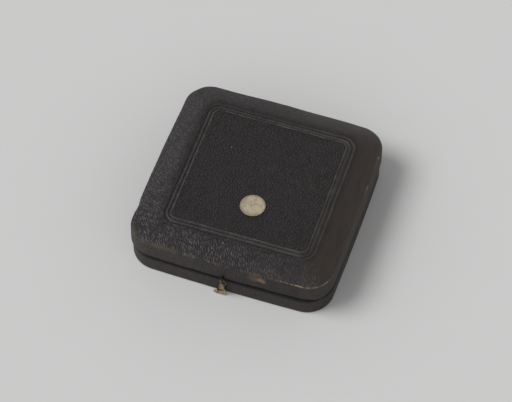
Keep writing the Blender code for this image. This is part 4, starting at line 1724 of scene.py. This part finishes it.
@dataclass
class PaperLabel:
    """The small round paper label, its edge a little lifted and frayed."""

    radius: float = 0.0049
    thickness: float = 0.00012
    x: float = 0.0020
    y: float = -0.0124
    seat: float = 0.02017
    rings: int = 12
    segments: int = 96
    back_shares: tuple[float, float] = (0.98, 0.5)
    fray: Ripple = Ripple(0.30, 0.00007, 3.0)
    cockle: Ripple = Ripple(0.0022, 0.00003, 1.0)
    edge_lift: float = 0.00003
    edge_sharpness: int = 6
    soiled_edge: Line = Line(1.0, 0.10)

    def make(self, material: bpy.types.Material) -> bpy.types.Object:
        """Builds the label: its face from the edge inwards, then its back.

        Args:
            material: the paper.

        Returns:
            The piece.
        """
        form = Form("round_label")
        form.begin(self.ring(1.0), 1.0)
        for step in range(1, self.rings):
            share = 1.0 - step / self.rings
            form.extend(self.ring(share), share)
        form.cap(form.ring)
        form.ring = form.first
        down = Vector((0.0, 0.0, self.thickness))
        for share in (*self.back_shares, 1.0 / self.rings):
            form.extend([point - down for point in self.ring(share)], share)
        form.cap(form.ring)
        form.paint({"wear": self.soiled})
        return hand_over(form.done(material), Body.LID, Slot.LABEL, ["paper_label"])

    def soiled(self, place: Vector, share: float) -> float:
        """How soiled the paper is at a share of its radius."""
        return self.soiled_edge(share)

    def ring(self, share: float) -> list[Vector]:
        """A ring of the label's face.

        Args:
            share: its share of the label's radius.

        Returns:
            The ring.
        """
        points = []
        for step in range(self.segments):
            angle = math.tau * step / self.segments
            way = Vector((math.cos(angle), math.sin(angle), 0.0))
            radius = (self.radius + self.fray(way) * share) * share
            point = Vector((self.x, self.y, 0.0)) + way * radius
            lift = self.thickness + self.cockle(point) + self.edge_lift * share**self.edge_sharpness
            points.append(point + Vector((0.0, 0.0, self.seat + lift)))
        return points


class HookPen:
    """Draws the hook's outline with extruded edges and spun arcs, in the XZ plane."""

    def __init__(self, bm: bmesh.types.BMesh, start: Vector) -> None:
        """Starts at a point."""
        self.bm = bm
        self.tip = bmesh.ops.create_vert(bm, co=(start.x, 0.0, start.y))["vert"][0]

    def line(self, *ends: Sequence[float]) -> None:
        """Draws straight runs.

        Args:
            ends: the point that each run ends at.
        """
        for x, z in ends:
            made = bmesh.ops.extrude_vert_indiv(self.bm, verts=[self.tip])
            self.tip = made["verts"][0]
            self.tip.co = (x, 0.0, z)

    def arc(self, centre: Vector, sweep: float, steps: int) -> None:
        """Draws an arc.

        Args:
            centre: its centre.
            sweep: its angle, positive from +Z towards +X.
            steps: its steps.
        """
        turn = {"axis": (0.0, 1.0, 0.0), "cent": (centre.x, 0.0, centre.y)}
        made = bmesh.ops.spin(self.bm, geom=[self.tip], angle=sweep, steps=steps, **turn)
        self.tip = next(item for item in made["geom_last"] if isinstance(item, bmesh.types.BMVert))


@dataclass(frozen=True)
class Pin:
    """A pin with a domed head, its head's back at the start of its axis."""

    name: str
    head_radius: float
    head_height: float
    shank_radius: float
    shank_length: float
    dome_power: float = 0.7
    undercut: float = 0.93
    dome_steps: int = 10
    segments: int = 40

    def form(self, place: Vector) -> Form:
        """Turns the pin.

        Args:
            place: where its head's back is.

        Returns:
            The pin.
        """
        shank = self.shank_radius
        profile = [(0.0, -self.shank_length), (shank, -self.shank_length), (shank, 0.0)]
        profile.append((self.head_radius * self.undercut, 0.0))
        for step in range(self.dome_steps):
            angle = QUARTER_TURN * step / self.dome_steps
            radius = self.head_radius * math.cos(angle) ** self.dome_power
            profile.append((radius, self.head_height * math.sin(angle)))
        profile.append((0.0, self.head_height))
        form = Form(self.name)
        turned(form, profile, place, self.segments)
        return form


@dataclass
class Catch:
    """The swing hook with its rivet and washer in the base, and the stud in the lid."""

    x: float = -0.0003
    height: float = 0.0063
    back: float = -0.04067
    thickness: float = 0.0008
    head_gap: float = 0.0002
    eye: float = 0.00115
    arm: float = 0.00075
    arm_share: float = 0.66
    nick: float = 0.00012
    nick_drop: float = 0.00022
    slot_at: float = 0.0039
    slot_half: float = 0.00062
    head_half: float = 0.00145
    head_round: float = 0.00018
    heel_share: float = 0.96
    heel_sweep: float = math.radians(80.0)
    heel_foot: float = 0.3
    toe_width: float = 0.00125
    toe_tip: float = 0.00045
    toe_sweep: float = math.radians(33.0)
    toe_bend_at: float = math.radians(14.0)
    toe_lift: float = math.radians(23.0)
    end_fold: float = 0.00022
    end_lift: float = math.radians(27.0)
    shoulder_sweep: float = math.radians(27.0)
    shoulder_share: float = 0.84
    shoulder_top: float = 0.6
    edge_round: float = 0.00012
    edge_steps: int = 3
    rivet: Pin = Pin("catch_rivet_pin", 0.0010, 0.00045, 0.00035, 0.0042)
    stud: Pin = Pin("catch_stud_pin", 0.00085, 0.0004, 0.00045, 0.0040)
    washer_radius: float = 0.0014
    washer_thickness: float = 0.0004
    washer_shares: tuple[tuple[float, float], ...] = (
        (0.0, 0.0),
        (0.96, 0.0),
        (1.0, 0.2),
        (1.0, 0.75),
        (0.93, 1.0),
        (0.0, 1.0),
    )
    washer_back: float = -0.04007
    washer_segments: int = 48
    steps: int = 10
    sharp_hook: float = 30.0
    sharp_turned: float = 50.0

    def polar(self, radius: float, angle: float) -> Vector:
        """A point round the rivet: the angle runs from straight down towards the toe."""
        return Vector((-radius * math.sin(angle), -radius * math.cos(angle)))

    def draw_hook(self, bm: bmesh.types.BMesh) -> None:
        """Draws the outline: eye, arm, head, heel, toe, slot, shoulder and arm again.

        Args:
            bm: what it is drawn in.
        """
        near, far = self.slot_at - self.slot_half, self.slot_at + self.slot_half
        outer = far + self.toe_width
        neck = math.asin(self.arm / self.eye)
        pivot = Vector((0.0, 0.0))
        flare = -near * self.arm_share
        heel = -outer * self.heel_share + self.head_half / 2
        pen = HookPen(bm, self.polar(self.eye, neck))
        pen.arc(pivot, math.tau - 2.0 * neck, 3 * self.steps)
        pen.line(
            (self.arm, flare),
            (self.arm + self.nick, flare - self.nick_drop),
            (self.head_half - self.head_round, -near + self.nick),
            (self.head_half, -near - self.nick),
            (self.head_half, heel),
        )
        pen.arc(Vector((self.head_half / 2, heel)), self.heel_sweep, self.steps)
        pen.line((self.head_half * self.heel_foot, -outer), self.polar(outer, 0.0))
        pen.arc(pivot, self.toe_sweep, 2 * self.steps)
        pen.line(
            self.polar(outer - self.toe_tip, self.toe_sweep),
            self.polar(far, self.toe_sweep - self.toe_bend_at / 2),
        )
        pen.arc(pivot, self.toe_bend_at / 2 - self.toe_sweep, 2 * self.steps)
        pen.arc(self.polar(self.slot_at, 0.0), -2 * QUARTER_TURN, 2 * self.steps)
        pen.arc(pivot, self.shoulder_sweep, self.steps)
        pen.line(
            self.polar(near * self.shoulder_share, self.shoulder_sweep),
            (-self.arm, -near * self.shoulder_top),
        )

    def hook(self, material: bpy.types.Material) -> bpy.types.Object:
        """Cuts the hook from flat brass, softens its edges and bends its end and toe outwards.

        Args:
            material: the brass.

        Returns:
            The piece.
        """
        form = Form("swing_hook")
        bm = form.bm
        self.draw_hook(bm)
        bmesh.ops.remove_doubles(bm, verts=bm.verts, dist=NO_DISTANCE)
        bm.edges.new([vertex for vertex in bm.verts if len(vertex.link_edges) == 1])
        face = bmesh.ops.contextual_create(bm, geom=bm.edges[:])["faces"]
        front = bmesh.ops.extrude_face_region(bm, geom=face)["geom"]
        moved = [item for item in front if isinstance(item, bmesh.types.BMVert)]
        bmesh.ops.translate(bm, verts=moved, vec=(0.0, -self.thickness, 0.0))
        bmesh.ops.recalc_face_normals(bm, faces=bm.faces)
        flats = [flat for flat in bm.faces if len(flat.verts) > 4]
        edges = list({edge for flat in flats for edge in flat.edges})
        steps = self.edge_steps
        bmesh.ops.bevel(bm, geom=edges, offset=self.edge_round, segments=steps, **BEVEL_EDGES)
        self.bend_end(bm)
        self.bend_toe(bm)
        bmesh.ops.translate(bm, verts=bm.verts, vec=(self.x, self.back, self.height))
        piece = form.done(material, self.sharp_hook)
        return hand_over(piece, Body.CATCH, Slot.BRASS, ["catch_hook"])

    def bend_end(self, bm: bmesh.types.BMesh) -> None:
        """Bends the hook's end outwards for a fingernail, below a level fold line.

        Args:
            bm: the hook, in its own place.
        """
        fold = -(self.slot_at + self.slot_half + self.end_fold)
        everything = bm.verts[:] + bm.edges[:] + bm.faces[:]
        plane = {"plane_co": (0.0, 0.0, fold), "plane_no": (0.0, 0.0, 1.0)}
        bmesh.ops.bisect_plane(bm, geom=everything, **plane)
        end = [vertex for vertex in bm.verts if vertex.co.z < fold - NO_DISTANCE]
        lift = Matrix.Rotation(-self.end_lift, 3, "X")
        bmesh.ops.rotate(bm, verts=end, cent=(0.0, -self.thickness, fold), matrix=lift)

    def bend_toe(self, bm: bmesh.types.BMesh) -> None:
        """Bends the hook's toe outwards, beyond a fold line through the rivet.

        Args:
            bm: the hook, in its own place.
        """
        down = self.polar(1.0, self.toe_bend_at)
        fold = Vector((down.x, 0.0, down.y))
        towards_toe = Vector((fold.z, 0.0, -fold.x))
        everything = bm.verts[:] + bm.edges[:] + bm.faces[:]
        plane = {"plane_co": (0.0, 0.0, 0.0), "plane_no": towards_toe}
        bmesh.ops.bisect_plane(bm, geom=everything, **plane)
        toe = []
        for vertex in bm.verts:
            below_slot = math.hypot(vertex.co.x, vertex.co.z) > self.slot_at
            if below_slot and vertex.co.dot(towards_toe) > NO_DISTANCE:
                toe.append(vertex)
        lift = Matrix.Rotation(-self.toe_lift, 3, fold)
        bmesh.ops.rotate(bm, verts=toe, cent=(0.0, -self.thickness, 0.0), matrix=lift)

    def washer(self) -> Form:
        """Turns the washer behind the hook's eye.

        Returns:
            The washer.
        """
        form = Form("catch_washer_disc")
        radius, depth = self.washer_radius, self.washer_thickness
        profile = [(radius * out, depth * ahead) for out, ahead in self.washer_shares]
        place = Vector((self.x, self.washer_back, self.height))
        turned(form, profile, place, self.washer_segments)
        return form

    def make(self, brass: bpy.types.Material, dark: bpy.types.Material) -> None:
        """Builds the four pieces.

        Args:
            brass: finish of hook, rivet and washer.
            dark: finish of the stud.
        """
        self.hook(brass)
        axis = Vector((self.x, self.back - self.thickness - self.head_gap, self.height))
        rivet = self.rivet.form(axis).done(brass, self.sharp_turned)
        hand_over(rivet, Body.BASE, Slot.BRASS, ["catch_rivet"])
        above = Vector((0.0, 0.0, self.slot_at))
        stud = self.stud.form(axis + above).done(dark, self.sharp_turned)
        hand_over(stud, Body.LID, Slot.DARK_BRASS, ["catch_stud"])
        washer = self.washer().done(brass, self.sharp_turned)
        hand_over(washer, Body.BASE, Slot.BRASS, ["catch_washer"])


@dataclass
class BaseBed(SquareWork):
    """What lies inside the base: velvet collar, velvet bed, strip round the well and its floor."""

    outline: Outline = BASE_OUTLINE
    collar: tuple[float, float] = (0.0046, 0.0056)
    collar_top: float = 0.00935
    collar_nose: float = 0.00045
    floor: float = 0.0024
    bed_inset: float = 0.0061
    bed_bottom: float = 0.00635
    bed_edge_top: float = 0.00765
    bed_tuck: float = 0.3
    bed_rounds: tuple[float, float] = (0.2, 0.55)
    bed_crown: float = 0.0003
    bed_crown_power: float = 0.7
    bed_steps: int = 16
    edge_run: float = 3.0
    lip_share: float = 0.75
    lip_foot: float = 0.15
    lip_steps: int = 8
    well: float = 0.0259
    well_floor: float = 0.00305
    well_play: float = 0.0003
    well_rounds: tuple[float, float] = (0.3, 0.6)
    well_steps: int = 20
    strip: float = 0.0007
    strip_top: float = 0.00615
    round_steps: int = 6
    nap: tuple[Ripple, ...] = (Ripple(0.006, 0.00005, 2.0), Ripple(0.0021, 0.000025, 8.0))

    def well_ring(self, radius: float, height: float) -> list[Vector]:
        """A ring round the well."""
        return raised(circle(radius, self.fineness), height)

    def lie(self, place: Vector, station: float) -> float:
        """The nap's soft unevenness at a place."""
        return sum(ripple(place) for ripple in self.nap)

    def make(self, velvet: bpy.types.Material) -> None:
        """Builds the four pieces.

        Args:
            velvet: their finish.
        """
        hand_over(self.make_collar().done(velvet), Body.BASE, Slot.VELVET, ["base_collar"])
        bed = self.make_bed().done(velvet)
        hand_over(bed, Body.BASE, Slot.VELVET, ["bed_velvet"])
        hand_over(self.make_strip().done(velvet), Body.BASE, Slot.VELVET, ["well_lining"])
        pad = self.make_floor().done(velvet)
        hand_over(pad, Body.BASE, Slot.VELVET, ["well_pad"])

    def make_collar(self) -> Form:
        """The velvet-covered ring that stands above the rim.

        Returns:
            The collar.
        """
        outer, inner = self.collar
        corners = [
            (outer, self.floor, 0.0),
            (outer, self.collar_top, self.collar_nose),
            (inner, self.collar_top, self.collar_nose),
            (inner, self.floor, 0.0),
        ]
        form = Form("collar_velvet")
        form.follow(self.ring, divided(rounded(corners, self.round_steps), self.longest_step))
        form.join_ends()
        return form

    def make_bed(self) -> Form:
        """The padded bed: soft outer edge, low crown, and a rolled lip round the well.

        Returns:
            The bed.
        """
        thick = self.bed_edge_top - self.bed_bottom
        lower, upper = (thick * share for share in self.bed_rounds)
        edge = rounded([
            (self.bed_inset + thick * self.bed_tuck, self.bed_bottom, 0.0),
            (self.bed_inset, self.bed_bottom, lower),
            (self.bed_inset, self.bed_edge_top, upper),
            (self.bed_inset + thick * self.edge_run, self.bed_edge_top, 0.0),
        ])[:-1]
        form = Form("bed_cushion")
        form.follow(self.ring, edge, hidden_start=True)
        lip = thick * self.lip_share
        outer, inner = self.ring(*edge[-1]), self.well_ring(self.well + lip, self.bed_edge_top)
        for share in shares(self.bed_steps):
            crown = self.bed_crown * math.sin(math.pi * share) ** self.bed_crown_power
            form.extend(blended(outer, inner, share, crown), share)
        for share in shares(self.lip_steps):
            angle = QUARTER_TURN * share
            up = self.lip_foot + (1.0 - self.lip_foot) * math.cos(angle)
            height = self.bed_bottom + thick * up
            form.extend(self.well_ring(self.well + lip * (1.0 - math.sin(angle)), height), share)
        form.extend(self.well_ring(self.well, self.bed_bottom))
        form.join_ends()
        form.press(self.lie)
        return form

    def make_strip(self) -> Form:
        """The strip round the well's wall.

        Returns:
            The strip.
        """
        form = Form("well_strip")
        profile = oblong(self.well + self.strip, self.well, self.floor, self.strip_top)
        form.follow(self.well_ring, divided(profile, self.longest_step))
        form.join_ends()
        return form

    def make_floor(self) -> Form:
        """The round pad that the medal lies on.

        Returns:
            The pad.
        """
        form = Form("well_cushion")
        radius = self.well - self.well_play
        thick = self.well_floor - self.floor
        lower, upper = (thick * share for share in self.well_rounds)
        corners = [
            (radius - thick, self.floor, 0.0),
            (radius, self.floor, lower),
            (radius, self.well_floor, upper),
            (radius - thick * self.edge_run, self.well_floor, 0.0),
        ]
        edge = rounded(corners, self.round_steps)
        form.follow(self.well_ring, edge, hidden_start=True)
        for step in range(1, self.well_steps):
            share = step / self.well_steps
            form.extend(self.well_ring(edge[-1].x * (1.0 - share), self.well_floor), share)
        form.cap(form.first)
        form.cap(form.ring)
        form.press(self.lie)
        return form


@dataclass
class LidLining(SquareWork):
    """What lies inside the lid: the satin strip and the satin cushion on its card."""

    outline: Outline = LID_OUTLINE
    strip: tuple[float, float] = (0.0042, 0.0045)
    strip_heights: tuple[float, float] = (0.00905, 0.0143)
    inset: float = 0.0048
    seat: float = 0.0133
    thickness: float = 0.0012
    edge: tuple[tuple[float, float, float], ...] = (
        (0.975, 0.0, 0.5),
        (0.992, 0.15, 0.9),
        (0.994, 0.5, 1.0),
        (0.985, 0.85, 0.8),
        (0.96, 1.0, 0.5),
    )
    crown: float = 0.0010
    crown_power: float = 0.6
    crown_steps: int = 24
    draw_in: float = 0.0006
    sharp: float = 60.0
    sim_scale: float = 10.0
    sim_quality: int = 5
    voxel: float = 0.009
    frames: int = 20
    pressure: float = 4.0
    glued: float = 0.4
    most_swell: float = 0.0006

    def make(self, satin: bpy.types.Material) -> None:
        """Builds both pieces.

        Args:
            satin: their finish.
        """
        hand_over(self.make_strip().done(satin), Body.LID, Slot.SATIN, ["lid_lining_strip"])
        cushion = self.make_cushion().done(satin, self.sharp)
        self.swell(cushion)
        step = cushion.modifiers.new("smooth", "SUBSURF")
        step.levels = 1
        step.render_levels = 1
        hand_over(cushion, Body.LID, Slot.SATIN, ["lid_pad"])

    def make_strip(self) -> Form:
        """The strip pasted round the inside of the walls.

        Returns:
            The strip.
        """
        form = Form("lining_strip")
        profile = oblong(*self.strip, *self.strip_heights)
        form.follow(self.ring, divided(profile, self.longest_step))
        form.join_ends()
        return form

    def pad_ring(self, share: float, height: float, drawn: float) -> list[Vector]:
        """A ring of the cushion.

        Args:
            share: its share of the cushion's size, 1 at the edge.
            height: its height.
            drawn: how far its sides are drawn in, from 0 to 1.

        Returns:
            The ring.
        """
        full = self.outline.within(self.inset)
        corner = (full.corner + (full.half_x - full.corner) * (1.0 - share) / 2) * share
        bow = (full.bow - self.draw_in * drawn) * share
        outline = Outline(full.half_x * share, full.half_y * share, corner, bow)
        return raised(outline.points(self.fineness), height)

    def make_cushion(self) -> Form:
        """The cushion before it is filled: a thin crowned pad.

        Returns:
            The cushion.
        """
        form = Form("lid_cushion")
        rings = []
        for share, down, drawn in self.edge:
            rings.append(self.pad_ring(share, self.seat - self.thickness * down, drawn))
        form.begin(rings[0], 0.0)
        for ring in rings[1:]:
            form.extend(ring, 0.0)
        for step in range(1, self.crown_steps):
            share = self.edge[-1][0] * (1.0 - step / self.crown_steps)
            rise = self.crown * math.sin(QUARTER_TURN * (1.0 - share)) ** self.crown_power
            form.extend(self.pad_ring(share, self.seat - self.thickness - rise, 0.0), 0.0)
        form.cap(form.first)
        form.cap(form.ring)
        return form

    def swell(self, piece: bpy.types.Object) -> None:
        """Fills the cushion by a cloth simulation, ten times its size, glued along its back.

        Args:
            piece: the cushion.
        """
        piece.data.transform(Matrix.Scale(self.sim_scale, 4))
        remesh = piece.modifiers.new("even", "REMESH")
        remesh.mode = "VOXEL"
        remesh.voxel_size = self.voxel
        apply_modifiers(piece)
        piece.data.shade_smooth()
        before = [vertex.co.copy() for vertex in piece.data.vertices]
        LOG.info("filling %s, which has %d points", piece.name, len(before))
        back = (self.seat - self.thickness * self.glued) * self.sim_scale
        glued = piece.vertex_groups.new(name="glued")
        glued.add([index for index, place in enumerate(before) if place.z > back], 1.0, "REPLACE")
        cloth = piece.modifiers.new("fill", "CLOTH")
        cloth.settings.use_pressure = True
        cloth.settings.uniform_pressure_force = self.pressure
        cloth.settings.effector_weights.gravity = 0.0
        cloth.settings.vertex_group_mass = glued.name
        cloth.settings.quality = self.sim_quality
        cloth.point_cache.frame_start = 1
        cloth.point_cache.frame_end = self.frames
        scene = bpy.context.scene
        for frame_number in range(1, self.frames + 1):
            scene.frame_set(frame_number)
        apply_modifiers(piece)
        scene.frame_set(1)
        most = self.most_swell * self.sim_scale
        for vertex, start in zip(piece.data.vertices, before):
            move = vertex.co - start
            if move.length > most:
                vertex.co = start + move.normalized() * most
        piece.data.transform(Matrix.Scale(1.0 / self.sim_scale, 4))
        piece.vertex_groups.clear()


@dataclass
class Studio:
    """Floor, light and camera."""

    floor_half: float = 2.0
    floor_cells: int = 8
    azimuth: float = math.radians(18.27)
    elevation: float = math.radians(54.63)
    distance: float = 0.8159
    target: Point = (-0.0001, -0.0021, 0.0086)
    roll: float = math.radians(0.654)
    lens: float = 148.84
    furthest: float = 20.0
    key_from: Point = (-0.592, -0.251, 0.766)
    key_strength: float = 2.13
    key_spread: float = math.radians(34.0)
    sky_top: float = 0.20
    sky_rim: float = 1.34
    sky_dims: tuple[float, float] = (0.0, 0.8)
    front_fill: float = 0.42
    front_fills: tuple[float, float] = (0.0, -0.9)

    def make(self) -> None:
        """Sets up all three."""
        self.lay_floor()
        self.hang_key()
        self.paint_sky()
        self.place_camera()

    def lay_floor(self) -> None:
        """A plain pale floor."""
        form = Form("floor")
        cells = {"x_segments": self.floor_cells, "y_segments": self.floor_cells}
        bmesh.ops.create_grid(form.bm, size=self.floor_half, **cells)
        form.done(FloorPaint().material())

    def hang_key(self) -> None:
        """One broad soft lamp from behind on the left."""
        lamp = bpy.data.lights.new("key", "SUN")
        lamp.energy = self.key_strength
        lamp.angle = self.key_spread
        holder = bpy.data.objects.new("key", lamp)
        holder.rotation_euler = Vector(self.key_from).to_track_quat("Z", "Y").to_euler()
        bpy.context.scene.collection.objects.link(holder)

    def paint_sky(self) -> None:
        """Surroundings that are pale near the horizon and in front, and dimmer above."""
        world = bpy.data.worlds.new("studio")
        world.use_nodes = True
        bpy.context.scene.world = world
        bench = Bench(world.node_tree)
        way = bench.add("ShaderNodeTexCoord", output="Generated")
        up = bench.part(way, "Z").between(*self.sky_dims)
        front = bench.part(way, "Y").between(*self.front_fills)
        strength = self.sky_rim + (self.sky_top - self.sky_rim) * up + front * self.front_fill
        back = bench.nodes["Background"]
        bench.plug(back.inputs["Strength"], strength)
        bench.plug(back.inputs["Color"], (1.0, 1.0, 1.0, 1.0))

    def place_camera(self) -> None:
        """The camera at the photograph's angle."""
        camera = bpy.data.cameras.new("camera")
        camera.lens = self.lens
        camera.clip_end = self.furthest
        holder = bpy.data.objects.new("camera", camera)
        level = math.cos(self.elevation)
        right, back = level * math.sin(self.azimuth), level * math.cos(self.azimuth)
        away = Vector((right, -back, math.sin(self.elevation)))
        turn = away.to_track_quat("Z", "Y").to_matrix().to_4x4()
        place = Matrix.Translation(Vector(self.target) + away * self.distance)
        holder.matrix_world = place @ turn @ Matrix.Rotation(self.roll, 4, "Z")
        bpy.context.scene.collection.objects.link(holder)
        bpy.context.scene.camera = holder
        bpy.context.scene.view_settings.view_transform = "Standard"


def main() -> None:
    """Builds the case, piece by piece, and its studio."""
    logging.basicConfig(level=logging.INFO, format="%(name)s: %(message)s")
    Studio().make()
    room = HingeRoom()
    LidCover().make(LID_LEATHER.material(), room)
    BaseCover().make(BASE_LEATHER.material(), room)
    PaperLabel().make(LABEL_PAPER.material())
    brass = AGED_BRASS.material()
    Catch().make(brass, BLACKENED_BRASS.material())
    BaseBed().make(PLUM_VELVET.material())
    LidLining().make(IVORY_SATIN.material())
    dress_nodes(nodes_named("base_hinge") + nodes_named("lid_hinge") + ["hinge_pin"], brass)
    boards = ["lid_frame", "lid_top_board", "base_frame", "base_board", "bed_block"]
    dress_nodes(boards, PALE_WOOD.material())
    dress_nodes(["lid_pad_card"], GREY_CARD.material())
    dress_nodes(["base_bottom_sheet"], BLACK_BOOKCLOTH.material())


if __name__ == "__main__":
    main()
